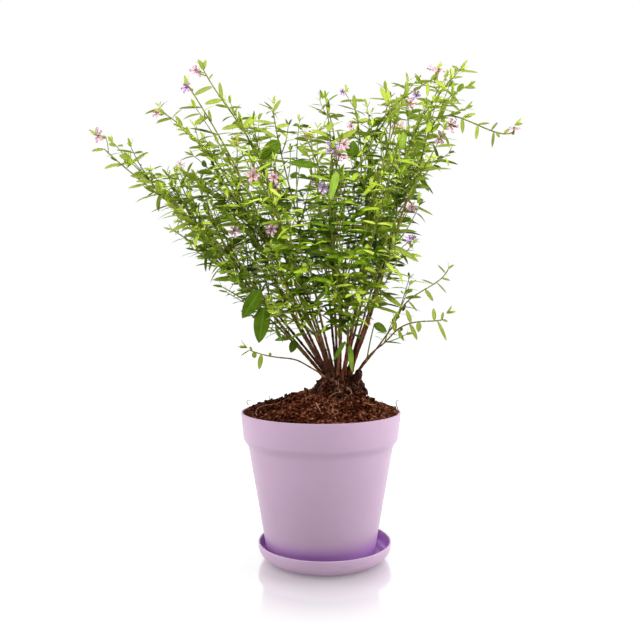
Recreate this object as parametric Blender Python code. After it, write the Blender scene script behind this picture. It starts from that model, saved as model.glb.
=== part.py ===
"""A young false heather shrub, planted on a mound of soil in a lilac plastic pot that stands in its saucer.

Many thin woody stems fan out of one short stump. Each stem is a bare limb below and a mass of leafy twigs
above. Metres, +Z up; the origin lies on the pot's axis, at the level that the saucer stands on.
"""

import math
import random
from collections import namedtuple

import bmesh
import bpy
import numpy as np
from mathutils import Matrix, Vector
from mathutils.bvhtree import BVHTree

MM = 0.001
GAP = 0.3 * MM
ROUND_SIDES = 32

# Saucer: a shallow dish, a little off the pot's axis
SAUCER_OFFSET = 3.4 * MM
SAUCER_FOOT_R = 47.5 * MM
SAUCER_BELLY_R = 55.5 * MM
SAUCER_BELLY_Z = 5.0 * MM
SAUCER_LIP_R = 58.7 * MM
SAUCER_HEIGHT = 16.0 * MM
SAUCER_WALL = 1.8 * MM
SAUCER_FLOOR = 2.0 * MM

# Pot: a tapered wall under a deep rim band
POT_FOOT_Z = SAUCER_FLOOR + GAP
POT_FOOT_R = 46.7 * MM
POT_NECK_R = 63.5 * MM
POT_NECK_Z = 101.0 * MM
BAND_FOOT_R = 67.6 * MM
BAND_FOOT_Z = 107.0 * MM
RIM_R = 70.0 * MM
RIM_Z = 130.0 * MM
POT_WALL = 2.0 * MM
POT_FLOOR = 2.5 * MM
EDGE_ROUND = 1.0 * MM

# Soil: it fills the pot and rises to a mound under the plant, which stands a little off the pot's axis
PLANT_X = 16.0 * MM
SOIL_EDGE_Z = 127.0 * MM
MOUND_TOP_Z = 147.0 * MM
MOUND_TOP_R = 25.0 * MM

# Stump: the short woody stock that all stems leave
STUMP_FOOT_Z = MOUND_TOP_Z + GAP
STUMP_HEIGHT = 24.0 * MM
STUMP_R = 22.0 * MM
STUMP_SIDES = 28
STUMP_LOBES = 7
STUMP_LOBE_DEPTH = 0.08
STEM_ROOT_Z = 161.0 * MM
STEM_SIDES = 6
FAN_R = 28.0 * MM
FAN_LIMIT = 14.5 * MM
FOOT_SPACING = 4.4 * MM

# Leaves, twigs and blossom, larger than life because the real plant has many more
LEAF_LENGTH = 31.0 * MM
LEAF_WIDTH = 11.0 * MM
LEAF_THICK = 0.7 * MM
LEAF_SPREAD = math.radians(58)
LEAF_TURNS = (0.0, 0.5, -0.5, 1.1, -1.1)
LEAF_SCALES = (1.0, 0.75, 0.55)
NODE_STEP = 20.0 * MM
LEAST_AT_TIP = 0.62
TWIGS_END = 0.85
LEAFY_STEM_R = 1.9 * MM
LEAFY_TIP_R = 1.3 * MM
TWIG_R = 0.95 * MM
TWIG_TIP_R = 0.8 * MM
TWIG_LENGTH = 62.0 * MM
TWIG_SPREAD = math.radians(46)
TWIG_TRIES = 4
TWIG_SHRINK = 0.72
LEAST_LEAVES = 2
CLEAR_OF_TWIG = 2.4 * MM
CELL_GAP = 0.5 * MM
LIMB_GAP = 1.0 * MM
BLOSSOM_R = 6.5 * MM
BLOSSOM_STALK = 6.0 * MM
TIP_RADIUS = 0.65 * MM
SWAY = 4.0 * MM
THICKEST = 3.0
MIDDLE_SHARE = 0.42
SEED = 21

# One row for each stem: where its tip is in millimetres, how far its middle is bowed upwards, how far its
# foot is bellied outwards, how thick its foot is, the share of it that is bare, how bushy it is, and whether
# its tip carries a blossom.
Stem = namedtuple("Stem", "name tip bow belly thick bare bushy blossom")
STEMS = (
    Stem("far_left", (-188, -20, 366), 24, 1, 3.0, 0.26, 0.9, True),
    Stem("left_low", (-134, 26, 290), 24, 1, 2.8, 0.28, 1.2, False),
    Stem("left_arch", (-146, 46, 398), 24, 1, 3.0, 0.30, 0.9, True),
    Stem("left_flower", (-108, -38, 402), 20, 3, 3.0, 0.30, 0.9, True),
    Stem("left_top", (-104, 10, 432), 16, 2, 3.0, 0.34, 0.8, True),
    Stem("mid_left", (-42, 26, 402), 10, 1, 3.0, 0.28, 1.0, False),
    Stem("mid", (2, -10, 398), 8, 1, 3.0, 0.28, 1.0, False),
    Stem("mid_right", (24, 36, 415), 8, 1, 3.0, 0.32, 0.9, True),
    Stem("right_mid", (54, -24, 402), 24, 5, 3.0, 0.30, 1.0, False),
    Stem("right_flower", (100, 4, 428), 50, 9, 3.0, 0.32, 0.9, True),
    Stem("right_top", (126, 44, 434), 70, 6, 2.9, 0.34, 0.8, False),
    Stem("far_right", (160, -30, 372), 172, 4, 2.6, 0.42, 0.8, True),
    Stem("right_low", (94, 54, 350), 50, 10, 2.8, 0.32, 1.1, False),
    Stem("right_side", (78, -46, 306), 46, 9, 2.6, 0.32, 1.2, True),
    Stem("low_right", (112, 6, 254), 14, 3, 2.0, 0.42, 0.9, False),
    Stem("low_right_shoot", (106, -22, 216), 20, -3, 2.0, 0.36, 1.2, False),
    Stem("low_left", (-84, -12, 238), 16, 1, 2.6, 0.28, 1.7, False),
    Stem("low_left_shoot", (-62, -24, 187), 12, 1, 1.9, 0.30, 1.4, False),
    Stem("front_low_left", (-42, -68, 262), 22, 1, 2.8, 0.28, 1.8, False),
    Stem("front_low", (26, -72, 264), 22, 4, 2.8, 0.28, 1.7, False),
    Stem("front_mid", (8, -104, 338), 30, 4, 2.8, 0.30, 1.1, True),
    Stem("front_left", (-54, -92, 336), 26, 1, 2.9, 0.30, 1.2, True),
    Stem("front_right", (58, -90, 346), 30, 5, 2.8, 0.30, 1.1, False),
    Stem("back_left", (-82, 98, 380), 26, 1, 2.9, 0.30, 0.8, True),
    Stem("back_mid", (-10, 108, 388), 24, 1, 2.9, 0.30, 0.8, False),
    Stem("back_right", (76, 98, 394), 30, 4, 2.9, 0.30, 0.8, True),
    Stem("back_low_left", (-84, 80, 278), 30, 1, 2.7, 0.28, 1.3, False),
    Stem("back_low_right", (76, 84, 288), 34, 1, 2.7, 0.28, 1.3, False),
)

LILAC = (0.62, 0.47, 0.66)
SOIL_BROWN = (0.06, 0.028, 0.016)
BARK_BROWN = (0.13, 0.05, 0.03)
LEAF_GREEN = (0.16, 0.33, 0.03)


def material(name, colour, roughness):
    """A plain surface: its colour, how rough it is, and no metal."""
    made = bpy.data.materials.new(name)
    made.use_nodes = True
    shader = made.node_tree.nodes["Principled BSDF"]
    shader.inputs["Base Color"].default_value = (*colour, 1.0)
    shader.inputs["Roughness"].default_value = roughness
    shader.inputs["Metallic"].default_value = 0.0
    return made


def linked(name, mesh, finish, smooth=False):
    """An object of that name with that mesh and material, in the scene."""
    made = bpy.data.objects.new(name, mesh)
    bpy.context.scene.collection.objects.link(made)
    mesh.materials.clear()
    mesh.materials.append(finish)
    if smooth:
        mesh.shade_smooth()
    return made


def turned(name, profile, finish, centre_x=0.0):
    """A round solid: the closed profile of (radius, height) points spun about a vertical axis."""
    shape = bmesh.new()
    ring = [shape.verts.new((radius, 0.0, height)) for radius, height in profile]
    edges = [shape.edges.new(pair) for pair in zip(ring, ring[1:])]
    bmesh.ops.spin(
        shape,
        geom=ring + edges,
        axis=(0, 0, 1),
        cent=(0, 0, 0),
        steps=ROUND_SIDES,
        angle=math.tau,
        use_merge=False,
    )
    bmesh.ops.remove_doubles(shape, verts=shape.verts, dist=0.01 * MM)
    bmesh.ops.recalc_face_normals(shape, faces=shape.faces)
    mesh = bpy.data.meshes.new(name)
    shape.to_mesh(mesh)
    shape.free()
    made = linked(name, mesh, finish, smooth=True)
    made.location.x = centre_x
    return made


def saucer_profile():
    """Underside, outer wall, rounded lip, inner wall and floor, from axis to axis."""
    inner_lip = SAUCER_LIP_R - SAUCER_WALL
    return [
        (0.0, 0.0),
        (SAUCER_FOOT_R, 0.0),
        (SAUCER_FOOT_R + 2.5 * MM, 0.7 * MM),
        (SAUCER_BELLY_R, SAUCER_BELLY_Z),
        (SAUCER_LIP_R - 0.4 * MM, SAUCER_HEIGHT - 5 * MM),
        (SAUCER_LIP_R, SAUCER_HEIGHT - EDGE_ROUND),
        (SAUCER_LIP_R - SAUCER_WALL / 2, SAUCER_HEIGHT),
        (inner_lip, SAUCER_HEIGHT - EDGE_ROUND),
        (inner_lip - 0.6 * MM, SAUCER_HEIGHT - 5 * MM),
        (SAUCER_BELLY_R - SAUCER_WALL - 1.0 * MM, SAUCER_BELLY_Z + 1.5 * MM),
        (SAUCER_FOOT_R + 3.5 * MM, SAUCER_FLOOR),
        (0.0, SAUCER_FLOOR),
    ]


def inner_radius(height):
    """The pot's inside radius at a height, which follows its outside one wall in."""
    return np.interp(height, *zip(*pot_outline())) - POT_WALL


def pot_outline():
    """(height, outer radius) up the pot: the tapered wall, the shoulder and the rim band."""
    return [
        (POT_FOOT_Z, POT_FOOT_R),
        (POT_NECK_Z, POT_NECK_R),
        (BAND_FOOT_Z - 2.0 * MM, BAND_FOOT_R - 1.0 * MM),
        (BAND_FOOT_Z, BAND_FOOT_R),
        (RIM_Z - EDGE_ROUND, RIM_R),
    ]


def pot_profile():
    """The pot's wall, from the middle of its underside over the rim to the middle of its floor."""
    outside = [(radius, height) for height, radius in pot_outline()]
    outside[0] = (POT_FOOT_R, POT_FOOT_Z + EDGE_ROUND)
    inside = [(inner_radius(height), height) for height, _ in reversed(pot_outline()[1:])]
    floor_z = POT_FOOT_Z + POT_FLOOR
    return [
        (0.0, POT_FOOT_Z),
        (POT_FOOT_R - EDGE_ROUND, POT_FOOT_Z),
        *outside,
        (RIM_R - POT_WALL / 2, RIM_Z),
        *inside,
        (inner_radius(floor_z), floor_z),
        (0.0, floor_z),
    ]


def ring(centre_x, radius_at, height, sides):
    """The points of one level ring; radius_at gives the radius at an angle."""
    points = []
    for k in range(sides):
        angle = math.tau * k / sides
        radius = radius_at(angle)
        points.append((centre_x + radius * math.cos(angle), radius * math.sin(angle), height))
    return points


def lofted(name, rings, finish):
    """A closed solid through a stack of rings, with a flat face at either end."""
    shape = bmesh.new()
    loops = [[shape.verts.new(point) for point in points] for points in rings]
    for one, other in zip(loops, loops[1:]):
        for k in range(len(one)):
            after = (k + 1) % len(one)
            shape.faces.new((one[k], one[after], other[after], other[k]))
    shape.faces.new(loops[0])
    shape.faces.new(loops[-1][::-1])
    bmesh.ops.recalc_face_normals(shape, faces=shape.faces)
    mesh = bpy.data.meshes.new(name)
    shape.to_mesh(mesh)
    shape.free()
    return linked(name, mesh, finish)


def make_soil(finish):
    """The soil: a cone from the mound's flat top out to the wall, then down inside the pot to its floor."""
    edge_r = inner_radius(SOIL_EDGE_Z) - GAP
    rings = []
    for share in (0.0, 0.3, 0.65, 1.0):
        radius = MOUND_TOP_R + share * (edge_r - MOUND_TOP_R)
        fall = share ** 1.1 * (MOUND_TOP_Z - SOIL_EDGE_Z)
        rings.append(ring(PLANT_X * (1 - share), lambda _: radius, MOUND_TOP_Z - fall, ROUND_SIDES))
    for height in (BAND_FOOT_Z, POT_NECK_Z, POT_FOOT_Z + POT_FLOOR + GAP):
        rings.append(ring(0.0, lambda _: inner_radius(height) - GAP, height, ROUND_SIDES))
    return lofted("soil", rings, finish)


def stump_radius(share, angle):
    """The stump's radius at a share of its height: flared at its foot, rounded at its top, lobed all round."""
    plain = STUMP_R * np.interp(share, [0.0, 0.25, 0.55, 0.8, 0.93, 1.0], [1.0, 0.86, 0.8, 0.68, 0.5, 0.28])
    lobes = math.sin(STUMP_LOBES * angle + 3 * share) + 0.6 * math.sin(3 * angle + 1.3)
    return plain * (1 + STUMP_LOBE_DEPTH * lobes * (1 - 0.6 * share))


def make_stump(name, finish, room=0.0):
    """The stump, cut flat where it stands on the soil; room makes it that much larger all round."""
    rings = []
    for share in (0.0, 0.1, 0.25, 0.45, 0.65, 0.8, 0.93, 1.0):
        height = STUMP_FOOT_Z + share * STUMP_HEIGHT + (room if share else -room)
        rings.append(ring(PLANT_X, lambda angle: stump_radius(share, angle) + room, height, STUMP_SIDES))
    return lofted(name, rings, finish)


def feet_of(stems):
    """Where each stem leaves the stump.

    A foot lies towards its stem's tip, the farther out the lower that stem leans. Feet that come out too
    close to each other are then pushed apart, a little at a time, and kept inside the stump.
    """
    middle = Vector((PLANT_X, 0, STEM_ROOT_Z))
    places = []
    for stem in stems:
        away = Vector(stem.tip) * MM - Vector((PLANT_X, 0, 0))
        rise = away.z - STEM_ROOT_Z
        away.z = 0.0
        lean = away.length / (away.length + rise)
        places.append(middle + away.normalized() * FAN_R * lean)
    for _ in range(60):
        for k, one in enumerate(places):
            for other in places[k + 1 :]:
                between = other - one
                short = FOOT_SPACING - between.length
                if short > 0:
                    push = between.normalized() * short * 0.25
                    one -= push
                    other += push
        for place in places:
            out = place - middle
            place -= out.normalized() * max(0.0, out.length - FAN_LIMIT)
    return {stem.name: place for stem, place in zip(stems, places)}


def sways_of(stems):
    """How far each stem sways off its plain curve: its belly outwards, and a little to one side."""
    rng = random.Random(SEED)
    sways = {}
    for stem in stems:
        outwards = Vector((stem.tip[0] * MM - PLANT_X, stem.tip[1] * MM, 0.0)).normalized()
        aside = Vector((-outwards.y, outwards.x, 0.0))
        sways[stem.name] = outwards * stem.belly * MM + aside * SWAY * rng.uniform(-1.0, 1.0)
    return sways


FEET = feet_of(STEMS)
SWAYS = sways_of(STEMS)


def stem_point(stem, share):
    """A point on a stem: a curve from its foot to its tip, its middle pulled up, with a slight S of sway."""
    foot = FEET[stem.name]
    tip = Vector(stem.tip) * MM
    middle = foot.lerp(tip, MIDDLE_SHARE) + Vector((0, 0, stem.bow * MM))
    plain = foot * (1 - share) ** 2 + middle * (2 * share * (1 - share)) + tip * share**2
    return plain + SWAYS[stem.name] * math.sin(math.tau * share)


def stem_heading(stem, share):
    """The direction in which a stem grows at that share of it."""
    ahead = stem_point(stem, min(1.0, share + 0.01))
    return (ahead - stem_point(stem, share - 0.01)).normalized()


def stem_radius(stem, share):
    """A stem tapers from its foot to its tip."""
    return stem.thick * MM / 2 * (1 - share) + TIP_RADIUS * share


def stem_length(stem):
    """The length along a stem, in metres."""
    points = [stem_point(stem, k / 24) for k in range(25)]
    return sum((b - a).length for a, b in zip(points, points[1:]))


def tube(name, points, radii, sides, finish):
    """A tapering tube through the points, its rings turned as little as they can be from one to the next."""
    across = Vector((0.3, 0.2, 1.0))
    rings = []
    for k, (point, radius) in enumerate(zip(points, radii)):
        ahead = points[min(k + 1, len(points) - 1)] - points[max(k - 1, 0)]
        turn = turned_to(ahead, across)
        across = turn.col[0]
        corners = ring(0.0, lambda _: radius, 0.0, sides)
        rings.append([point + turn @ Vector(corner) for corner in corners])
    return lofted(name, rings, finish)


def turned_to(direction, across):
    """A turn whose Z runs along direction and whose X lies as near as it can to across."""
    along = direction.normalized()
    side = (across - along * across.dot(along)).normalized()
    return Matrix((side, along.cross(side), along)).transposed()


def blade(root, direction, facing, length, width):
    """A leaf of six faces: flat above, keeled below, widest before its middle, with its root at a point."""
    turn = turned_to(direction, facing.cross(direction))
    widest = 0.42 * length
    corners = [
        (0, 0, 0),
        (width / 2, 0, widest),
        (0, LEAF_THICK, widest),
        (-width / 2, 0, widest),
        (0, 0, length),
    ]
    points = [root + turn @ Vector(corner) for corner in corners]
    faces = []
    for first, second in ((1, 2), (2, 3), (3, 1)):
        faces += [(0, second, first), (4, first, second)]
    return points, faces


def twig_shape(start, end, foot_radius, tip_radius):
    """A three-sided tapering twig."""
    turn = turned_to(end - start, Vector((0.3, 0.2, 1.0)))
    corners = ring(0.0, lambda _: foot_radius, 0.0, 3)
    corners += ring(0.0, lambda _: tip_radius, (end - start).length, 3)
    points = [start + turn @ Vector(corner) for corner in corners]
    faces = [(2, 1, 0), (3, 4, 5)]
    for k in range(3):
        after = (k + 1) % 3
        faces.append((k, after, 3 + after, 3 + k))
    return points, faces


def blossom_shape(start, direction):
    """A blossom: a six-pointed flat star that faces along its stalk."""
    turn = turned_to(direction, Vector((0.2, 0.9, 0.4)))
    centre = start + direction.normalized() * BLOSSOM_STALK
    points = [centre + turn @ Vector((0, 0, -1.6 * MM)), centre + turn @ Vector((0, 0, 0.8 * MM))]
    for k in range(12):
        angle = math.tau * k / 12
        reach = BLOSSOM_R if k % 2 == 0 else 0.42 * BLOSSOM_R
        points.append(centre + turn @ Vector((reach * math.cos(angle), reach * math.sin(angle), 0)))
    faces = []
    for k in range(12):
        first, second = 2 + k, 2 + (k + 1) % 12
        faces += [(0, second, first), (1, first, second)]
    return points, faces


def samples_of(stem):
    """Points along a whole stem, from foot to tip, with the radius at each."""
    shares = [k / 40 for k in range(41)]
    return np.array([(*stem_point(stem, share), stem_radius(stem, share)) for share in shares])


class Space:
    """The room of each mass: the points that lie nearer to its own stem than to any other."""

    def __init__(self, lines):
        self.lines = lines

    def distances(self, points, name):
        """The distance of each point to that line's surface."""
        line = self.lines[name]
        apart = np.linalg.norm(points[:, None, :] - line[None, :, :3], axis=2)
        return (apart - line[None, :, 3]).min(axis=1)

    def holds(self, points, own):
        """True if all the points keep to the room of the mass that grows on the line named own."""
        cloud = np.array([tuple(point) for point in points])
        home = self.distances(cloud, own)
        for name in self.lines:
            if name == own:
                continue
            other = self.distances(cloud, name)
            if (other < LIMB_GAP).any() or (other < home + CELL_GAP).any():
                return False
        return True


def along(points, parts=3):
    """Extra points between a shape's own, so that its middle is tested too."""
    centre = sum(points, Vector()) / len(points)
    return [point.lerp(centre, k / parts) for point in points for k in range(parts)]


def tree_of(shape):
    """A search tree of a shape's faces, which finds crossings."""
    points, faces = shape
    return BVHTree.FromPolygons([tuple(point) for point in points], faces)


def sideways(heading, turn):
    """A direction square to the heading, turned about it."""
    side = heading.cross(Vector((0.1, 0.25, 1.0))).normalized()
    return side * math.cos(turn) + heading.cross(side) * math.sin(turn)


class Mass:
    """One mass of foliage: its stem, and the twigs, leaves and blossoms that are fused to it."""

    def __init__(self, name, space, rng, core):
        self.name = name
        self.space = space
        self.rng = rng
        self.shapes = []
        self.trees = [tree_of(([v.co for v in core.vertices], [tuple(f.vertices) for f in core.polygons]))]
        self.leaf_count = 0

    def add(self, shape, clear_part):
        """Keeps a shape if it stays in this mass's room, and if its clear part crosses nothing there."""
        if not self.space.holds(along(shape[0]), self.name):
            return False
        tree = tree_of(clear_part)
        if any(tree.overlap(other) for other in self.trees):
            return False
        self.shapes.append(shape)
        self.trees.append(tree_of(shape))
        return True

    def take_back(self, count):
        """Takes off what was added after the first shapes, count of them."""
        self.leaf_count -= len(self.shapes) - count - 1
        del self.shapes[count:]
        del self.trees[count + 1 :]

    def add_leaf(self, root, direction, facing, length, width):
        """Keeps a leaf if it fits; all of it past its root has to be clear."""
        past = blade(root + direction * CLEAR_OF_TWIG, direction, facing, length - CLEAR_OF_TWIG, width)
        kept = self.add(blade(root, direction, facing, length, width), past)
        self.leaf_count += kept
        return kept

    def facing(self, spot):
        """Which way a leaf's flat side looks: outwards and up, to the light, more or less."""
        outwards = Vector((spot.x - PLANT_X, spot.y, 0.0)).normalized()
        return outwards + Vector([self.rng.uniform(-0.7, 0.7) for _ in range(3)]) + Vector((0, 0, 0.6))

    def leaf(self, spot, heading, radial, scale):
        """One leaf: it leaves the twig at the leaf angle, or turned a little aside where it would cross."""
        length = LEAF_LENGTH * scale * self.rng.uniform(0.82, 1.12)
        width = LEAF_WIDTH * scale * self.rng.uniform(0.85, 1.1)
        facing = self.facing(spot)
        for size in LEAF_SCALES:
            for turn in LEAF_TURNS:
                aside = Matrix.Rotation(turn, 3, heading) @ radial
                direction = heading * math.cos(LEAF_SPREAD) + aside * math.sin(LEAF_SPREAD)
                direction = (direction + Vector((0, 0, -0.12))).normalized()
                root = spot + direction * 0.2 * MM
                if self.add_leaf(root, direction, facing, length * size, width * size):
                    return

    def pair(self, spot, heading, turn, scale):
        """Two leaves that face each other across the twig."""
        radial = sideways(heading, turn)
        self.leaf(spot, heading, radial, scale)
        self.leaf(spot, heading, -radial, scale)

    def twig(self, spot, heading, turn, length, scale):
        """A side twig with its leaves; it is made shorter until it and enough of its leaves fit."""
        direction = heading * math.cos(TWIG_SPREAD) + sideways(heading, turn) * math.sin(TWIG_SPREAD)
        direction = (direction + Vector((0, 0, 0.18))).normalized()
        for _ in range(TWIG_TRIES):
            end = spot + direction * length
            past = twig_shape(spot + direction * 1.5 * CLEAR_OF_TWIG, end, TWIG_R, TWIG_TIP_R)
            before = len(self.shapes)
            if self.add(twig_shape(spot, end, TWIG_R, TWIG_TIP_R), past):
                self.dress_twig(spot, direction, length, turn, 0.9 * scale)
                if len(self.shapes) - before > LEAST_LEAVES:
                    return
                self.take_back(before)
            length *= TWIG_SHRINK

    def dress_twig(self, spot, direction, length, turn, scale):
        """The leaves of one side twig."""
        pairs = max(1, round(length / NODE_STEP) - 1)
        for k in range(pairs):
            share = 0.4 + 0.55 * k / pairs
            self.pair(spot + direction * length * share, direction, turn + k * math.pi / 2, scale)
        nearly = (direction + Vector((0.1, -0.1, 0.2))).normalized()
        root = spot + direction * (length - 0.7 * MM)
        self.add_leaf(root, nearly, self.facing(root), scale * LEAF_LENGTH, 0.9 * scale * LEAF_WIDTH)

    def blossom(self, spot, direction):
        """A blossom on its stalk."""
        stalk = spot + direction.normalized() * (BLOSSOM_STALK - 0.4 * MM)
        base = spot - direction.normalized() * 0.6 * MM
        star = blossom_shape(spot, direction)
        if self.add(star, star):
            self.shapes.append(twig_shape(base, stalk, 0.7 * MM, 0.6 * MM))


def shape_object(name, shape, holder, finish):
    """A closed mesh object made of points and faces, put in the holder collection."""
    points, faces = shape
    mesh = bpy.data.meshes.new(name)
    mesh.from_pydata([tuple(point) for point in points], [], faces)
    form = bmesh.new()
    form.from_mesh(mesh)
    bmesh.ops.recalc_face_normals(form, faces=form.faces)
    form.to_mesh(mesh)
    form.free()
    made = bpy.data.objects.new(name, mesh)
    mesh.materials.append(finish)
    holder.objects.link(made)
    return made


def tidy_mesh(mesh):
    """Keeps the mesh's largest connected part and drops loose scraps; True if it is one closed surface."""
    shape = bmesh.new()
    shape.from_mesh(mesh)
    unseen = set(shape.verts)
    groups = []
    while unseen:
        stack = [unseen.pop()]
        group = set(stack)
        while stack:
            for edge in stack.pop().link_edges:
                for vertex in edge.verts:
                    if vertex in unseen:
                        unseen.discard(vertex)
                        group.add(vertex)
                        stack.append(vertex)
        groups.append(group)
    keep = max(groups, key=len)
    scraps = [vertex for vertex in shape.verts if vertex not in keep]
    bmesh.ops.delete(shape, geom=scraps, context="VERTS")
    closed = all(edge.is_manifold for edge in shape.edges)
    shape.to_mesh(mesh)
    shape.free()
    return closed


def fuse(trunk, shapes, finish):
    """Joins the shapes to the trunk with one Boolean union on a collection, applied.

    The exact solver is tried first, and the manifold one where that leaves an open edge. A mass that fails
    both is tried again with fewer leaves.
    """
    for solver, kept in (("EXACT", 1.0), ("MANIFOLD", 1.0), ("EXACT", 0.8), ("MANIFOLD", 0.8)):
        holder = bpy.data.collections.new(trunk.name + "_parts")
        bpy.context.scene.collection.children.link(holder)
        for index, shape in enumerate(shapes[: int(kept * len(shapes))]):
            shape_object(f"{trunk.name}_part_{index}", shape, holder, finish)
        union = trunk.modifiers.new("join", "BOOLEAN")
        union.operation = "UNION"
        union.operand_type = "COLLECTION"
        union.collection = holder
        union.solver = solver
        bpy.context.view_layer.update()
        graph = bpy.context.evaluated_depsgraph_get()
        mesh = bpy.data.meshes.new_from_object(trunk.evaluated_get(graph), depsgraph=graph)
        trunk.modifiers.clear()
        for part in list(holder.objects):
            bpy.data.objects.remove(part)
        bpy.data.collections.remove(holder)
        if tidy_mesh(mesh):
            trunk.data = mesh
            return solver
    raise ValueError(trunk.name + " did not join")


def triangles(made):
    """How many triangles an object's faces come to."""
    return sum(len(face.vertices) - 2 for face in made.data.polygons)


def grow(mass, stem, start):
    """Dresses a mass's stem from its start to its tip by the plant's rule.

    Leaf pairs sit a node apart, each turned a quarter from the last. A side twig leaves every second node
    on either side, shorter towards the tip. Thinner stems carry smaller leaves.
    """
    steps = max(3, int((1 - start) * stem_length(stem) * stem.bushy / NODE_STEP))
    spin = mass.rng.uniform(0, math.tau)
    size = stem.thick / THICKEST
    for k in range(steps):
        share = start + (1 - start) * (k + 0.6) / steps
        spot = stem_point(stem, share)
        heading = stem_heading(stem, share)
        turn = spin + k * math.pi / 2
        reach = (share - start) / (1 - start)
        scale = size * (1.0 - (1.0 - LEAST_AT_TIP) * reach)
        if k % 2 == 0 and reach < TWIGS_END:
            twig_length = TWIG_LENGTH * (1.0 - 0.75 * reach) * mass.rng.uniform(0.75, 1.1)
            mass.twig(spot, heading, turn, twig_length, scale)
            mass.twig(spot, heading, turn + math.pi, twig_length, scale)
        else:
            mass.pair(spot, heading, turn, scale)
    heading = stem_heading(stem, 0.99)
    tip = stem_point(stem, 1.0)
    mass.pair(tip - heading * 3.0 * MM, heading, spin, size * LEAST_AT_TIP)
    if stem.blossom:
        mass.blossom(tip - heading * 0.5 * MM, heading + Vector((0.15, -0.35, 0.2)))


def make_stem(stem, cutter, finish):
    """The bare limb of a stem, from the stump's surface to where its foliage starts."""
    shares = [stem.bare * k / 5 for k in range(6)]
    points = [stem_point(stem, share) for share in shares]
    radii = [stem_radius(stem, share) for share in shares]
    made = tube("stem_" + stem.name, points, radii, STEM_SIDES, finish)
    cut = made.modifiers.new("clear of the stump", "BOOLEAN")
    cut.operation = "DIFFERENCE"
    cut.object = cutter
    cut.solver = "EXACT"
    bpy.context.view_layer.update()
    graph = bpy.context.evaluated_depsgraph_get()
    mesh = bpy.data.meshes.new_from_object(made.evaluated_get(graph), depsgraph=graph)
    made.modifiers.clear()
    made.data = mesh


def make_foliage(stem, space, rng, finish):
    """The mass of foliage on the upper part of a stem."""
    start = stem.bare + GAP / stem_length(stem)
    shares = [start + (1 - start) * k / 6 for k in range(7)]
    points = [stem_point(stem, share) for share in shares]
    radii = [LEAFY_STEM_R + (LEAFY_TIP_R - LEAFY_STEM_R) * k / 6 for k in range(7)]
    core = tube("foliage_" + stem.name, points, radii, 3, finish)
    mass = Mass(stem.name, space, rng, core.data)
    grow(mass, stem, start)
    solver = fuse(core, mass.shapes, finish)
    print(core.name, solver, mass.leaf_count, "leaves", triangles(core), "triangles")
    return mass.leaf_count


def main():
    for old in list(bpy.data.objects):
        bpy.data.objects.remove(old)
    lilac = material("lilac_plastic", LILAC, 0.42)
    earth = material("soil", SOIL_BROWN, 0.95)
    bark = material("bark", BARK_BROWN, 0.8)
    leafy = material("leaf", LEAF_GREEN, 0.5)
    turned("saucer", saucer_profile(), lilac, SAUCER_OFFSET)
    turned("pot", pot_profile(), lilac)
    make_soil(earth)
    make_stump("stump", bark)
    cutter = make_stump("stump_room", bark, GAP)
    space = Space({stem.name: samples_of(stem) for stem in STEMS})
    leaves = 0
    for index, stem in enumerate(STEMS):
        make_stem(stem, cutter, bark)
        leaves += make_foliage(stem, space, random.Random(SEED + index), leafy)
    bpy.data.objects.remove(cutter)
    total = sum(triangles(made) for made in bpy.data.objects)
    print(leaves, "leaves,", total, "triangles in all")


main()
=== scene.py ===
# %% [markdown]
# # A potted false heather
#
# The object is a young flowering shrub in a lilac plastic pot on its saucer. Some thirty thin stems fan
# out of one short woody stump. They carry thousands of narrow leaves, set in pairs, and small pink and
# mauve blossoms. The CAD model holds the sizes: the pot, the saucer, the soil, the stump, the bare limbs,
# and a coarse mass of twigs and leaves for each stem. This script loads that model and makes each surface
# again, finer.
#
# A plant could be modelled leaf by leaf with the mouse, but thousands of leaves ask for a rule. So each
# shape here is a formula for whole numpy arrays: a tube along a path, or a thin blade, copied by
# broadcasting.

# %% Load the frame
import itertools
import math
import random

import bpy
import numpy as np
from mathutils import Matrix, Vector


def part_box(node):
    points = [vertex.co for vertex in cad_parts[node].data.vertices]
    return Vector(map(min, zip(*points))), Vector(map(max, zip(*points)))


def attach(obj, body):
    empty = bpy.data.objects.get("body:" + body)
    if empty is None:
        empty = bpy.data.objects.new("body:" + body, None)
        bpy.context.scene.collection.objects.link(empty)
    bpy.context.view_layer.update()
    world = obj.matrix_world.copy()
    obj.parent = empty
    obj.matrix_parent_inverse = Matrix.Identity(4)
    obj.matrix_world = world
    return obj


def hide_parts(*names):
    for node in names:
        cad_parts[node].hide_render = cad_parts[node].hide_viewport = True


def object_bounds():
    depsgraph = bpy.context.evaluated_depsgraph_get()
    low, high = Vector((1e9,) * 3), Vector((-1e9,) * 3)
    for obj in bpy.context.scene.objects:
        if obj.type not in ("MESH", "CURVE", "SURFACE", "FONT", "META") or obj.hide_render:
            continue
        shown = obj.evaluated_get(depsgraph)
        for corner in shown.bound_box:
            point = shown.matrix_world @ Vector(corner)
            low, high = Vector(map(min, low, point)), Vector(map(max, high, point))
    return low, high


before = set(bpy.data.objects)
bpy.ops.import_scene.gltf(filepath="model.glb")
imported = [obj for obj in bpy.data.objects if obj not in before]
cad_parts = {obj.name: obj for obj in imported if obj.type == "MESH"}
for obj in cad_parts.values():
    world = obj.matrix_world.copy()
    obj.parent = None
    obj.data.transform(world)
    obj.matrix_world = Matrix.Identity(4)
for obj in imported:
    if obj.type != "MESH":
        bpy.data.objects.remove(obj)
cad_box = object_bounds()
BOX_LOW = np.array(cad_box[0])
BOX_HIGH = np.array(cad_box[1])
MM = 0.001
STEM_NODES = sorted(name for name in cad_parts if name.startswith("stem_"))
FOLIAGE_NODES = sorted(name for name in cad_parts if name.startswith("foliage_"))
print("CAD box:", [tuple(round(value, 4) for value in corner) for corner in cad_box])
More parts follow.
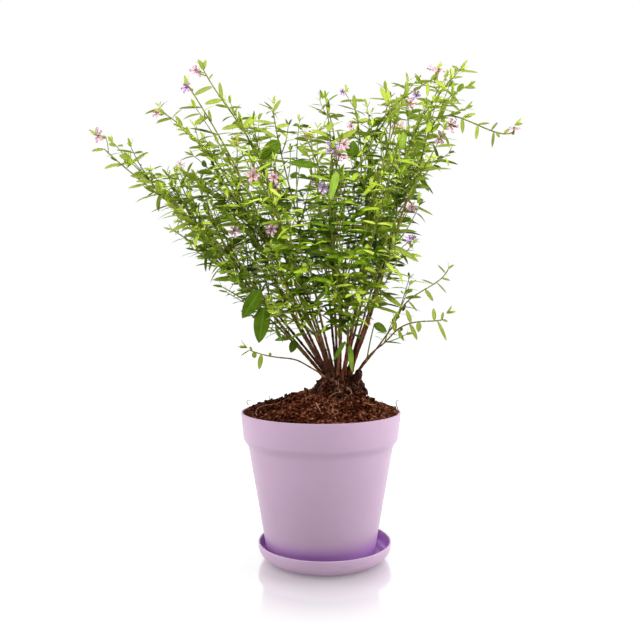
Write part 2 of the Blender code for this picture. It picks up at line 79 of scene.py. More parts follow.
print(len(STEM_NODES), "bare limbs and", len(FOLIAGE_NODES), "masses of foliage to dress")

# %% [markdown]
# ## The camera
#
# The picture was taken from a little above the pot's rim, close to the middle of the plant's height. A
# camera can be placed by eye, or fitted to edges whose real size is known. Here the two ellipses of the
# rim and the saucer gave its place, its tilt and its lens, for a square picture.

# %% Camera
CAMERA_PLACE = (-0.74 * MM, -677.8 * MM, 235.3 * MM)
# In radians below the level.
CAMERA_PITCH = 0.038
PICTURE_SIDE = 640
FOCAL_PIXELS = 776
SENSOR = 36.0

lens = bpy.data.cameras.new("camera")
lens.sensor_width = SENSOR
lens.lens = FOCAL_PIXELS / PICTURE_SIDE * SENSOR
camera = bpy.data.objects.new("camera", lens)
camera.location = CAMERA_PLACE
camera.rotation_euler = (math.pi / 2 - CAMERA_PITCH, 0.0, 0.0)
bpy.context.scene.collection.objects.link(camera)
bpy.context.scene.camera = camera
bpy.context.scene.view_settings.view_transform = "Standard"
print("lens", round(lens.lens, 2), "mm")

# %% [markdown]
# ## From arrays to pieces
#
# Nearly all of this plant is made of one kind of surface: a stack of closed rings. A pot is one such
# stack, a stem is another, and a leaf is one whose rings are flat. Points with the shape (copies, rings,
# corners, 3) hold any number of them at once, and the same faces join them all. That is much faster than
# a loop over vertices.


# %% Rings, faces and pieces
def ring_faces(copies, rings, corners):
    """Faces of many closed stacks of rings, and each face corner's place on the surface.

    A quad joins a corner, the next one round its ring, and the two above them. One flat face closes either
    end. The place is (share round the ring, share along the stack).
    """
    grid = np.arange(copies * rings * corners).reshape(copies, rings, corners)
    after = np.roll(grid, -1, axis=2)
    quads = np.stack([grid[:, :-1], after[:, :-1], after[:, 1:], grid[:, 1:]], axis=-1).reshape(-1, 4)
    around = np.arange(corners) / corners
    up = np.arange(rings) / (rings - 1)
    low = np.meshgrid(up[:-1], around, indexing="ij")
    high = np.meshgrid(up[1:], around, indexing="ij")
    step = 1 / corners
    places = [low[1], low[0], low[1] + step, low[0], high[1] + step, high[0], high[1], high[0]]
    quad_places = np.tile(np.stack(places, axis=-1).reshape(-1, 4, 2), (copies, 1, 1))
    ends = [grid[:, 0, ::-1], grid[:, -1]]
    end_places = [np.full((copies, corners, 2), share) for share in (0.0, 1.0)]
    return [quads, *ends], [quad_places, *end_places]


def make_piece(name, points, finish, replaced=(), sharp=80.0):
    """A finished piece from the points of one or more closed stacks, (copies, rings, corners, 3).

    Edges that turn by more degrees than the sharp value are drawn as edges, the others as a smooth surface.
    """
    face_sets, place_sets = ring_faces(*points.shape[:3])
    mesh = bpy.data.meshes.new(name)
    sizes = np.concatenate([np.full(len(faces), faces.shape[1]) for faces in face_sets])
    corners = np.concatenate([faces.ravel() for faces in face_sets])
    mesh.vertices.add(points.size // 3)
    mesh.vertices.foreach_set("co", points.astype(np.float32).ravel())
    mesh.loops.add(len(corners))
    mesh.loops.foreach_set("vertex_index", corners.astype(np.int32))
    mesh.polygons.add(len(sizes))
    mesh.polygons.foreach_set("loop_start", (np.cumsum(sizes) - sizes).astype(np.int32))
    mesh.update(calc_edges=True)
    places = np.concatenate([places.reshape(-1, 2) for places in place_sets])
    mesh.uv_layers.new(name="place").data.foreach_set("uv", places.astype(np.float32).ravel())
    mesh.shade_smooth()
    mesh.set_sharp_from_angle(angle=math.radians(sharp))
    mesh.materials.append(finish)
    piece = bpy.data.objects.new(name, mesh)
    bpy.context.scene.collection.objects.link(piece)
    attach(piece, "root")
    if replaced:
        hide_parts(*replaced)
    print(name, "has", int((sizes - 2).sum()), "triangles")


# %% [markdown]
# ## Chance that repeats
#
# Soil, bark and leaves are never even. Smooth noise gives that: random values on a lattice, blended
# between its points. Blender has such noise too, one point at a time, but here it has to work on whole
# arrays. Each random draw has a fixed seed, so the plant grows the same way each time.


# %% Noise and directions
def noise(points, size, seed):
    """Smooth noise from -1 to 1: hashed values on a lattice of that size, blended by smoothstep."""
    cells = points / size
    low = np.floor(cells).astype(np.int64)
    part = cells - low
    part = part * part * (3 - 2 * part)
    total = 0.0
    for corner in itertools.product((0, 1), repeat=3):
        key = (low + corner) @ np.array([73856093, 19349663, 83492791]) + seed * 2654435761
        key = (key ^ (key >> 13)) * 1274126177 & 0xFFFFFFFF
        value = ((key ^ (key >> 16)) & 0xFFFF) / 0xFFFF
        total = total + value * np.where(corner, part, 1 - part).prod(axis=-1)
    return 2 * total - 1


def unit(vectors):
    """Each vector divided by its own length."""
    return vectors / np.linalg.norm(vectors, axis=-1, keepdims=True)


def dot(one, other):
    """The dot product of the last axes, which stays as an axis of one."""
    return (one * other).sum(axis=-1, keepdims=True)


def spans(vectors):
    """The length of each vector."""
    return np.linalg.norm(vectors, axis=-1)


def column(rows, place):
    """One column of a table as an array."""
    return np.array([row[place] for row in rows])


def in_box(points, margin):
    """Whether each point lies inside the CAD box, at least a margin from its sides."""
    return ((points > BOX_LOW + margin) & (points < BOX_HIGH - margin)).all(axis=-1)


def kept_in_box(points, margin):
    """The points, with those outside the CAD box less a margin moved to its sides."""
    return np.clip(points, BOX_LOW + margin, BOX_HIGH - margin)


UP = np.array([0.0, 0.0, 1.0])
FLAT = np.array([1, 1, 0])
print("noise at the origin:", noise(np.zeros((1, 3)), 1.0, 3))

# %% [markdown]
# ## Finishes
#
# Each finish is a node material that reads Object coordinates, so it needs no unwrapping, or the place on
# the surface that each piece carries. A flat colour would look like paint: moulded plastic has a faint
# grain, soil is a mix of browns, bark is streaked along the stem, and a leaf has a pale middle rib.


# %% Material helpers
def add(tree, kind, values=None, wires=None, **settings):
    """A shader node: its plain inputs by name, its wires from other nodes' sockets, and its own settings."""
    made = tree.nodes.new("ShaderNode" + kind)
    for key, value in settings.items():
        setattr(made, key, value)
    for key, value in (values or {}).items():
        made.inputs[key].default_value = value
    for key, socket in (wires or {}).items():
        tree.links.new(socket, made.inputs[key])
    return made


def new_finish(name, roughness, **sockets):
    """A material of that name; it returns the material, its node tree and its shader."""
    made = bpy.data.materials.new(name)
    made.use_nodes = True
    shader = made.node_tree.nodes["Principled BSDF"]
    shader.inputs["Roughness"].default_value = roughness
    for socket, value in sockets.items():
        shader.inputs[socket.replace("_", " ")].default_value = value
    return made, made.node_tree, shader


def grain_of(tree, scale, stretch=(1.0, 1.0, 1.0), detail=3.0):
    """Noise on Object coordinates, stretched along the axes; scale is in cells a metre."""
    place = add(tree, "TexCoord")
    sized = add(tree, "Mapping", {"Scale": stretch}, {"Vector": place.outputs["Object"]})
    wires = {"Vector": sized.outputs["Vector"]}
    return add(tree, "TexNoise", {"Scale": scale, "Detail": detail, "Roughness": 0.6}, wires)


def ramp_of(tree, factor, stops):
    """A colour ramp through (position, colour) stops."""
    ramp = add(tree, "ValToRGB", wires={"Fac": factor})
    elements = ramp.color_ramp.elements
    while len(elements) < len(stops):
        elements.new(0.5)
    for element, (position, colour) in zip(elements, stops):
        element.position = position
        element.color = (*colour, 1.0)
    return ramp


def paint(tree, shader, colour):
    """Wires a colour socket to the shader."""
    tree.links.new(colour, shader.inputs["Base Color"])


def place_on_outline(tree):
    """The place that each piece carries: (share round the ring, share along the stack)."""
    return add(tree, "UVMap", uv_map="place").outputs["UV"]


def part_of(tree, vector, axis):
    """One coordinate of a vector socket."""
    return add(tree, "SeparateXYZ", wires={"Vector": vector}).outputs[axis]


def ranged(tree, value, ends, **settings):
    """A value socket carried over from one range to another: ends are from, from, to, to."""
    values = dict(zip(("From Min", "From Max", "To Min", "To Max"), ends))
    return add(tree, "MapRange", values, {"Value": value}, **settings).outputs["Result"]


def reckoned(tree, operation, *terms):
    """A sum, product or comparison of sockets and plain numbers."""
    numbers = {place: term for place, term in enumerate(terms) if isinstance(term, float)}
    wires = {place: term for place, term in enumerate(terms) if place not in numbers}
    return add(tree, "Math", numbers, wires, operation=operation).outputs["Value"]


def blended(tree, factor, under, over):
    """A colour socket covered by a plain colour as far as the factor says."""
    wires = {"Factor": factor, "A": under}
    return add(tree, "Mix", {"B": (*over, 1.0)}, wires, data_type="RGBA").outputs["Result"]


def bump_from(tree, shader, height, distance, strength):
    """Lets a height socket tilt the surface."""
    values = {"Strength": strength, "Distance": distance}
    bump = add(tree, "Bump", values, {"Height": height})
    tree.links.new(bump.outputs["Normal"], shader.inputs["Normal"])


# %% Plastic
LILAC = (0.402, 0.276, 0.390)
LILAC_PALE = (0.420, 0.290, 0.408)
# Painted shade and bounce light: the violet where pot and saucer meet.
PAINTED_SHADE_VIOLET = (0.42, 0.20, 0.54)
CLOUD_SCALE = 24.0
MOULD_SCALE = 2600.0
MOULD_RELIEF = 0.04 * MM


def make_plastic(name, place_on, pale_at, painted_shade_at, brightness=1.0):
    """Satin lilac polypropylene: nearly even, with a faint cloudiness and the fine grain of the mould.

    Where pot and saucer meet, light goes to and fro between them; there the lilac is painted deeper violet,
    a painted shade and painted bounce light. One place on the piece tells how far: a height, or a share of
    its outline, which runs from pale to the painted violet.
    """
    made, tree, shader = new_finish(name, 0.4, Specular_IOR_Level=0.5)
    cloud = grain_of(tree, CLOUD_SCALE)
    shades = [tuple(brightness * value for value in colour) for colour in (LILAC, LILAC_PALE)]
    ramp = ramp_of(tree, cloud.outputs["Fac"], [(0.3, shades[0]), (0.7, shades[1])])
    if place_on == "height":
        place = part_of(tree, add(tree, "TexCoord").outputs["Object"], "Z")
    else:
        place = part_of(tree, place_on_outline(tree), "Y")
    # Painted shade: how far the lilac turns violet.
    painted_shade = ranged(tree, place, (pale_at, painted_shade_at), interpolation_type="SMOOTHSTEP")
    paint(tree, shader, blended(tree, painted_shade, ramp.outputs["Color"], PAINTED_SHADE_VIOLET))
    fine = grain_of(tree, MOULD_SCALE, detail=2.0)
    bump_from(tree, shader, fine.outputs["Fac"], MOULD_RELIEF, 0.35)
    return made


# The pot is painted violet shade below 8 mm, fading out by 30 mm.
POT_PALE_ABOVE = 30 * MM
POT_PAINTED_SHADE_BELOW = 8 * MM
pot_plastic = make_plastic("lilac_plastic_pot", "height", POT_PALE_ABOVE, POT_PAINTED_SHADE_BELOW)
# The inner part of the saucer's outline is painted violet shade.
SAUCER_PALE_TO = 0.5
SAUCER_PAINTED_SHADE_FROM = 0.62
# Painted light: the saucer's lilac is a lighter copy of the pot's.
SAUCER_PAINTED_LIGHT = 1.18
saucer_look = (SAUCER_PALE_TO, SAUCER_PAINTED_SHADE_FROM, SAUCER_PAINTED_LIGHT)
saucer_plastic = make_plastic("lilac_plastic_saucer", "share", *saucer_look)
print(pot_plastic.name, saucer_plastic.name)

# %% [markdown]
# ## The pot and its saucer
#
# The real pot is injection moulded: a thin tapered wall, a deep band round the rim that stiffens it, and
# every edge slightly rounded so that it leaves the mould. On a lathe such a shape is one outline turned
# about an axis. The CAD pot has flat sides, so the outline is turned again here in many more steps, with
# the corners rounded by short curves.


# %% Lathe
def rounded(outline, radii, steps=5):
    """An outline whose corners are replaced by curves that start and end a radius away from them."""
    corners = np.array(outline, float)
    points = [corners[0]]
    for before, corner, after, radius in zip(corners, corners[1:], corners[2:], radii):
        one = corner + unit(before - corner) * min(radius, 0.5 * np.linalg.norm(before - corner))
        other = corner + unit(after - corner) * min(radius, 0.5 * np.linalg.norm(after - corner))
        share = np.linspace(0, 1, steps)[:, None]
        points.extend(one * (1 - share) ** 2 + corner * 2 * share * (1 - share) + other * share**2)
    points.append(corners[-1])
    return np.array(points)


def turned(outline, sides, centre_x=0.0):
    """An outline of (radius, height) points turned about a vertical axis: one stack of rings."""
    angle = math.tau * np.arange(sides) / sides
    radius, height = outline[:, 0, None], outline[:, 1, None]
    points = [centre_x + radius * np.cos(angle), radius * np.sin(angle), height + 0 * angle]
    return np.stack(points, axis=-1)[None]


LATHE_SIDES = 192
POT_FOOT_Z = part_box("pot")[0].z
POT_RIM_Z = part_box("pot")[1].z
RIM_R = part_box("pot")[1].x
POT_FOOT_R = 46.7 * MM
POT_NECK = (63.5 * MM, 101.0 * MM)
BAND_FOOT = (67.6 * MM, 107.0 * MM)
BAND_STEP = (1.0 * MM, 2.0 * MM)
POT_WALL = 2.0 * MM
POT_FLOOR = 2.5 * MM
AXIS_R = 1.0 * MM
POT_ROUNDINGS = np.array([1.5, 3.0, 1.2, 1.2, 1.0, 1.0, 1.2, 1.2, 3.0, 1.5]) * MM


def pot_outline():
    """From the middle of the underside, up the wall and the rim band, over the lip and down inside."""
    outside = [
        (POT_FOOT_R, POT_FOOT_Z),
        POT_NECK,
        (BAND_FOOT[0] - BAND_STEP[0], BAND_FOOT[1] - BAND_STEP[1]),
        BAND_FOOT,
        (RIM_R, POT_RIM_Z),
    ]
    inside = [(radius - POT_WALL, height) for radius, height in reversed(outside[1:])]
    floor_z = POT_FOOT_Z + POT_FLOOR
    floor = [(POT_FOOT_R - POT_WALL, floor_z), (AXIS_R, floor_z)]
    return rounded([(AXIS_R, POT_FOOT_Z), *outside, *inside, *floor], POT_ROUNDINGS)


pot_points = turned(pot_outline(), LATHE_SIDES)
make_piece("pot_shell", pot_points, pot_plastic, ["pot"], sharp=35.0)

# %% Saucer
SAUCER_LOW, SAUCER_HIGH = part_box("saucer")
SAUCER_X = (SAUCER_LOW.x + SAUCER_HIGH.x) / 2
SAUCER_R = (SAUCER_HIGH.x - SAUCER_LOW.x) / 2
SAUCER_TOP = SAUCER_HIGH.z
SAUCER_FOOT_R = 47.5 * MM
SAUCER_BELLY = (55.5 * MM, 5.0 * MM)
SAUCER_WALL = 1.8 * MM
SAUCER_FLOOR = 2.0 * MM
SAUCER_STEP = 4.6 * MM
SAUCER_ROUNDINGS = np.array([2.5, 5.0, 4.0, 0.9, 0.9, 2.5, 1.2, 1.0, 1.5]) * MM


def saucer_outline():
    """Underside, belly, rolled lip, and an inner wall with a step on which the pot's foot can be centred."""
    inner = SAUCER_R - SAUCER_WALL
    step_z = SAUCER_FLOOR + SAUCER_STEP
    outline = [
        (AXIS_R, 0.0),
        (SAUCER_FOOT_R, 0.0),
        SAUCER_BELLY,
        # The lip, which rolls outwards a little at its top.
        (SAUCER_R - 0.5 * MM, SAUCER_TOP - 5.2 * MM),
        (SAUCER_R, SAUCER_TOP),
        (inner, SAUCER_TOP),
        # The step inside, and the floor.
        (inner - 0.7 * MM, step_z + 3.2 * MM),
        (inner - 2.3 * MM, step_z),
        (inner - 4.2 * MM, step_z - 0.5 * MM),
        (SAUCER_FOOT_R + 2.6 * MM, SAUCER_FLOOR),
        (AXIS_R, SAUCER_FLOOR),
    ]
    return rounded(outline, SAUCER_ROUNDINGS)


saucer_points = turned(saucer_outline(), LATHE_SIDES, SAUCER_X)
make_piece("saucer_dish", saucer_points, saucer_plastic, ["saucer"], sharp=35.0)

# %% [markdown]
# ## The soil
#
# Dark potting soil fills the pot to its lip and rises to a mound under the plant. It could be a flat disc
# with a bump map, but its rough outline shows against the light. So the surface is a height over the
# ground: the mound of the CAD model, a little fuller at its edge, with three sizes of noise on it,
# slumped on the plant's right and sunk to a hollow on the left. Loose crumbs lie on top.

# %% Soil height
PLANT_X = 16.0 * MM
SOIL_EDGE_Z = 130.0 * MM
MOUND_TOP_Z = 147.0 * MM
MOUND_TOP_R = 25.0 * MM
SOIL_EDGE_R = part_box("soil")[1].x
HOLLOW_PLACE = (-44.0 * MM, -2.0 * MM)
HOLLOW_R = 13.0 * MM
HOLLOW_DEPTH = 4.5 * MM
SHARE_ROUNDS = 10


def soil_share(x, y):
    """How far a place is from the mound's flat top, 0, to the wall, 1.

    The mound's rings slide from the plant to the pot's axis as they widen, so the share is found by trying,
    each time with the ring's centre that the last share gives.
    """
    share = 0.0
    for _ in range(SHARE_ROUNDS):
        away = np.hypot(x - PLANT_X * (1 - np.clip(share, 0, 1)), y)
        share = (away - MOUND_TOP_R) / (SOIL_EDGE_R - MOUND_TOP_R)
    return share


def crumble(place, size, seed):
    """Sharp-edged lumps from -1 to 1: noise folded at zero, so that its valleys are narrow cracks."""
    return 1.6 * np.abs(noise(place, size, seed)) - 0.6


SLUMP_FROM = 12.0 * MM
SLUMP_TO = 34.0 * MM
SLUMP_LEAN = 30.0 * MM
SLUMP_DEPTHS = (0.0 * MM, 4.0 * MM, 9.5 * MM)
LUMP_SIZES = (12 * MM, 4.5 * MM, 2.0 * MM)
# In millimetres.
LUMP_HEIGHTS = (1.4, 1.4, 1.0)


def soil_height(x, y):
    """The mound, slumped on its right, less its hollow, with lumps that fade where it meets the wall."""
    share = np.clip(soil_share(x, y), 0, 1)
    plain = MOUND_TOP_Z - share**1.1 * (MOUND_TOP_Z - SOIL_EDGE_Z)
    shoulder = np.clip((np.hypot(x - PLANT_X, y) - SLUMP_FROM) / (SLUMP_TO - SLUMP_FROM), 0, 1)
    slump = np.interp((x - PLANT_X) / SLUMP_LEAN, (-1, 0, 1), SLUMP_DEPTHS) * shoulder * (1 - share)
    hollow = np.hypot(x - HOLLOW_PLACE[0], y - HOLLOW_PLACE[1]) / HOLLOW_R
    place = np.stack([x, y, 0 * x], axis=-1)
    lumps = LUMP_HEIGHTS[0] * noise(place, LUMP_SIZES[0], 1)
    lumps += LUMP_HEIGHTS[1] * crumble(place, LUMP_SIZES[1], 2)
    lumps += LUMP_HEIGHTS[2] * crumble(place, LUMP_SIZES[2], 3)
    lumps = lumps * MM * np.clip(1.25 - 0.95 * share**4, 0, 1)
    return plain - slump - HOLLOW_DEPTH * np.exp(-(hollow**2)) + lumps


# %% Soil surface
SOIL_GAP = 0.6 * MM
SOIL_FOOT_Z = 6 * MM


def soil_points(rings, sides):
    """Level rings from the mound's middle to the wall, then down inside the pot to its floor."""
    angle = math.tau * np.arange(sides) / sides
    share = np.linspace(-1, 1, rings)[:, None]
    inside = MOUND_TOP_R * np.maximum(1 + share, 0.02)
    radius = np.where(share < 0, inside, MOUND_TOP_R + share * (SOIL_EDGE_R - MOUND_TOP_R))
    x = PLANT_X * np.clip(1 - share, 0, 1) + radius * np.cos(angle)
    y = radius * np.sin(angle)
    top = np.stack([x, y, soil_height(x, y)], axis=-1)
    neck = (POT_NECK[0] - POT_WALL - SOIL_GAP, POT_NECK[1])
    foot = (POT_FOOT_R - POT_WALL - SOIL_GAP, SOIL_FOOT_Z)
    below = turned(np.array([neck, foot]), sides)[0]
    return np.concatenate([top, below])[None, ::-1]


# %% Soil finish
# The first, nearly black stop is painted shade that stands for the soil's cracks.
SOIL_TONES = (
    (0.36, (0.0025, 0.0002, 0.0001)),
    (0.47, (0.030, 0.0056, 0.0015)),
    (0.57, (0.10, 0.028, 0.011)),
    (0.7, (0.38, 0.185, 0.125)),
)
GRAIN_SCALE = 360.0
DAMP_SCALE = 55.0
DAMP_WEIGHT = 0.3
CRACK_SCALE = 900.0
CRACK_RELIEF = 1.0 * MM
# From the left side, where the soil is painted darkest as painted shade, to the middle.
PAINTED_SHADE_X = (-50 * MM, 10 * MM)
PAINTED_SHADE_SHIFT = (0.205, 0.145)


def make_soil_finish(name, brightness):
    """Reddish brown soil, nearly black in patches that are painted shade for its cracks, with pale specks of
    fibre.

    It is damper and darker in patches, and painted darker on its left side as painted shade.
    """
    made, tree, shader = new_finish(name, 0.95, Specular_IOR_Level=0.04)
    grains = grain_of(tree, GRAIN_SCALE, detail=7.0)
    damp = grain_of(tree, DAMP_SCALE, detail=2.0)
    wet = reckoned(tree, "MULTIPLY_ADD", damp.outputs["Fac"], DAMP_WEIGHT, grains.outputs["Fac"])
    across = part_of(tree, add(tree, "TexCoord").outputs["Object"], "X")
    # Random damp patches, less a painted shade that darkens the soil towards its left side.
    damp_and_shade = reckoned(tree, "SUBTRACT", wet, ranged(tree, across, (*PAINTED_SHADE_X, *PAINTED_SHADE_SHIFT)))
    shades = [(stop, tuple(brightness * value for value in colour)) for stop, colour in SOIL_TONES]
    ramp = ramp_of(tree, damp_and_shade, shades)
    paint(tree, shader, ramp.outputs["Color"])
    cracks = grain_of(tree, CRACK_SCALE, detail=4.0)
    bump_from(tree, shader, cracks.outputs["Fac"], CRACK_RELIEF, 1.0)
    return made


soil_finish = make_soil_finish("soil_earth", 1.0)
make_piece("soil_mound", soil_points(rings=160, sides=320), soil_finish, ["soil"])

# %% [markdown]
# ## Crumbs
#
# Loose crumbs of soil catch the light one by one. Each is a small ball of rings, pushed in and out by
# noise. A particle system could scatter them, but copies by broadcasting need no system and stay real
# meshes.


# %% Loose crumbs
def balls(centres, radii, rings, corners, relief, seed):
    """Small lumpy balls: rings from pole to pole, each point's radius changed by noise, by the relief."""
    polar = np.linspace(0.1, 0.9, rings)[:, None] * math.pi
    angle = math.tau * np.arange(corners) / corners
    bearing = [np.sin(polar) * np.cos(angle), np.sin(polar) * np.sin(angle), -np.cos(polar) + 0 * angle]
    shell = np.stack(bearing, axis=-1)
    spread = shell[None] + centres[:, None, None] / (3 * MM)
    bumps = 1 + relief * noise(spread, 0.8, seed)
    return centres[:, None, None] + shell[None] * (radii[:, None, None] * bumps)[..., None]


def mostly_small(rng, count, least, more, power):
    """Radii from the least up, in millimetres: the power makes large ones rare."""
    return (least + more * rng.uniform(0, 1, count) ** power) * MM


CRUMB_COUNT = 2600
CRUMB_SHARES = (-0.4, 0.97)
# How high a crumb's middle is over the soil, as a share of its radius.
CRUMB_RISE = 0.35
rng = np.random.default_rng(5)
crumb_share = rng.uniform(*CRUMB_SHARES, CRUMB_COUNT)
crumb_angle = rng.uniform(0, math.tau, CRUMB_COUNT)
crumb_reach = MOUND_TOP_R + crumb_share * (SOIL_EDGE_R - MOUND_TOP_R)
crumb_x = PLANT_X * np.clip(1 - crumb_share, 0, 1) + crumb_reach * np.cos(crumb_angle)
crumb_y = crumb_reach * np.sin(crumb_angle)
crumb_r = mostly_small(rng, CRUMB_COUNT, least=0.35, more=1.3, power=4)
crumb_z = soil_height(crumb_x, crumb_y) + CRUMB_RISE * crumb_r
crumb_centres = np.stack([crumb_x, crumb_y, crumb_z], axis=-1)
crumb_points = balls(crumb_centres, crumb_r, rings=4, corners=5, relief=0.6, seed=7)
make_piece("soil_crumbs", crumb_points, soil_finish)

# %% [markdown]
# ## Tubes along paths
#
# Stems, twigs, stalks and rootlets are all tapering tubes. A curve object with a bevel would do for one,
# but a shrub has thousands, and bark wants relief. So many paths are handled at once: at each point of a
# path the tangent and two directions square to it span the ring.


# %% Tubes
def tubes(paths, radii, corners):
    """Rings square to many paths, (tubes, rings, 3).

    The radii have a value for each tube, ring and corner, or for each tube and ring. The first direction of a
    ring is one fixed direction of its tube, made square to the tangent there; it is chosen square to the
    tube's mean tangent, so the rings don't twist.
    """
    tangents = unit(np.gradient(paths, axis=1))
    mean = unit(paths[:, -1] - paths[:, 0])
    least = np.eye(3)[np.abs(mean).argmin(axis=-1)]
    fixed = unit(np.cross(mean, least))[:, None]
    side = unit(fixed - tangents * dot(fixed, tangents))
    other = np.cross(tangents, side)
    angle = (math.tau * np.arange(corners) / corners)[None, None, :, None]
    spokes = side[:, :, None] * np.cos(angle) + other[:, :, None] * np.sin(angle)
    while radii.ndim < 3:
        radii = radii[..., None]
    return paths[:, :, None] + spokes * radii[..., None]


def bezier(start, middle, end, share):
    """Points on quadratic curves; the arrays of control points and shares broadcast."""
    return start * (1 - share) ** 2 + middle * 2 * share * (1 - share) + end * share**2


def bark_relief(points, seed):
    """Ridges that run along the stem: noise squeezed across it, sharpened where it changes sign."""
    drawn = points * np.array([1.0, 1.0, 0.22])
    ridges = 1 - 2 * np.abs(noise(drawn, 1.5 * MM, seed))
    return 0.6 * ridges + 0.4 * noise(points, 3.2 * MM, seed + 1)


# %% [markdown]
# ## The stump
#
# All stems leave one short stock, which is a knot of old bark: flared at its foot, lobed like a bundle,
# and rough with fibres. The CAD stump gives the form. The surface here is the same formula in finer
# steps, with ridges that run up it, coarse lumps, and one old stub where a stem was cut off years ago.

# %% Bark finish and stump surface
STUMP_FOOT_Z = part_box("stump")[0].z
STUMP_TOP_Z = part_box("stump")[1].z
STUMP_R = 22.0 * MM
STUMP_SHARES = (0.0, 0.25, 0.42, 0.56, 0.68, 0.76)
STUMP_WIDTHS = (1.02, 0.86, 0.74, 0.58, 0.34, 0.08)
STUMP_LOBES = 7
STUMP_LOBE_DEPTH = 0.08
STUMP_SINK = 9 * MM
STUMP_LUMPS = (6.5 * MM, 2.6 * MM)
# In millimetres: of the ridges, the lumps and the small lumps.
STUMP_RELIEF = (1.7, 2.2, 0.9)
BARK_SCALE = 520.0
BARK_STRETCH = (1.0, 1.0, 0.2)
BARK_RELIEF = 0.5 * MM


def make_bark(name, dark, mid, light):
    """Bark streaked along the stem, with fine fissures."""
    made, tree, shader = new_finish(name, 0.82, Specular_IOR_Level=0.15)
    streaks = grain_of(tree, BARK_SCALE, BARK_STRETCH, detail=5.0)
    ramp = ramp_of(tree, streaks.outputs["Fac"], [(0.32, dark), (0.52, mid), (0.72, light)])
    paint(tree, shader, ramp.outputs["Color"])
    bump_from(tree, shader, streaks.outputs["Fac"], BARK_RELIEF, 0.8)
    return made


def stump_points(rings, sides):
    """The CAD stump's lobed form, cut lower between the stems, with ridges and lumps; its foot is sunk."""
    share = np.linspace(0, STUMP_SHARES[-1], rings)[:, None]
    angle = (math.tau * np.arange(sides) / sides)[None]
    plain = STUMP_R * np.interp(share, STUMP_SHARES, STUMP_WIDTHS)
    lobes = np.sin(STUMP_LOBES * angle + 3 * share) + 0.6 * np.sin(3 * angle + 1.3)
    radius = plain * (1 + STUMP_LOBE_DEPTH * lobes * (1 - 0.6 * share))
    height = STUMP_FOOT_Z - STUMP_SINK * (1 - share) ** 8 + share * (STUMP_TOP_Z - STUMP_FOOT_Z)
    plain = np.stack([radius * np.cos(angle), radius * np.sin(angle), height + 0 * angle], axis=-1)
    streaks = bark_relief(plain * np.array([0.7, 0.7, 0.6]), 11)
    relief = STUMP_RELIEF[0] * streaks
    relief += STUMP_RELIEF[1] * crumble(plain, STUMP_LUMPS[0], 12)
    relief += STUMP_RELIEF[2] * crumble(plain, STUMP_LUMPS[1], 13)
    outwards = unit(plain - np.array([0, 0, STUMP_FOOT_Z]))
    return (plain + outwards * relief[..., None] * MM + np.array([PLANT_X, 0, 0]))[None]


old_bark = make_bark("bark_old", (0.002, 0.0002, 0.0001), (0.026, 0.006, 0.003), (0.32, 0.15, 0.095))
make_piece("stump_bark", stump_points(rings=120, sides=260), old_bark, ["stump"])


# %% Clods that cling to the stump
def round_stump(share, bearing, out):
    """Places about the stump: share of its height, bearing, and how far out as a share of its radius."""
    reach = STUMP_R * np.interp(share, STUMP_SHARES, STUMP_WIDTHS) * out
    height = STUMP_FOOT_Z - 2 * MM + share * (STUMP_TOP_Z - STUMP_FOOT_Z)
    return np.stack([PLANT_X + reach * np.cos(bearing), reach * np.sin(bearing), height], axis=-1)


CLOD_COUNT = 700
CLODS_UP_TO = 0.6
CLOD_BRIGHTNESS = 0.62
rng = np.random.default_rng(14)
clod_share = rng.uniform(0, 1, CLOD_COUNT) ** 1.3 * CLODS_UP_TO
clod_bearing = rng.uniform(0, math.tau, CLOD_COUNT)
clod_centres = round_stump(clod_share, clod_bearing, rng.uniform(0.98, 1.14, CLOD_COUNT))
clod_r = mostly_small(rng, CLOD_COUNT, least=0.35, more=1.5, power=3)
clod_finish = make_soil_finish("soil_on_bark", CLOD_BRIGHTNESS)
clod_points = balls(clod_centres, clod_r, rings=5, corners=7, relief=0.9, seed=15)
make_piece("stump_clods", clod_points, clod_finish)

# %% Old stub
STUB_FOOT = np.array([24.0, -8.0, 150.0]) * MM
STUB_TOP = np.array([33.0, -10.0, 167.5]) * MM
STUB_BEND = np.array([32.5, -10.0, 156.0]) * MM
STUB_R = 3.4 * MM
STUB_RINGS = 40
STUB_SIDES = 48
STUB_SHARES = (0, 0.8, 0.93, 1.0)
STUB_WIDTHS = (1.1, 0.95, 0.82, 0.35)

stub_share = np.linspace(0, 1, STUB_RINGS)[:, None]
stub_path = bezier(STUB_FOOT, STUB_BEND, STUB_TOP, stub_share)[None]
stub_plain = tubes(stub_path, np.full((1, STUB_RINGS), STUB_R), STUB_SIDES)
stub_taper = np.interp(stub_share[:, 0], STUB_SHARES, STUB_WIDTHS)[None, :, None]
stub_relief = 0.13 * bark_relief(stub_plain, 21) + 0.14 * noise(stub_plain, 4 * MM, 22)
stub_points = tubes(stub_path, STUB_R * stub_taper * (1 + stub_relief), STUB_SIDES)
make_piece("old_stub", stub_points, old_bark)

# %% [markdown]
# ## Where the stems run
#
# Each stem is a curve from its foot in the stump to its tip, with its middle pulled up and a slight sway.
# The rule is the one of the CAD source, written again for whole arrays, so each bare limb lies on its
# solid. The table gives what a gardener would measure: the tip's place in millimetres, how far the middle
# is bowed up, how far the foot bellies outwards, the thickness of the foot, and the share of the stem
# that is bare.

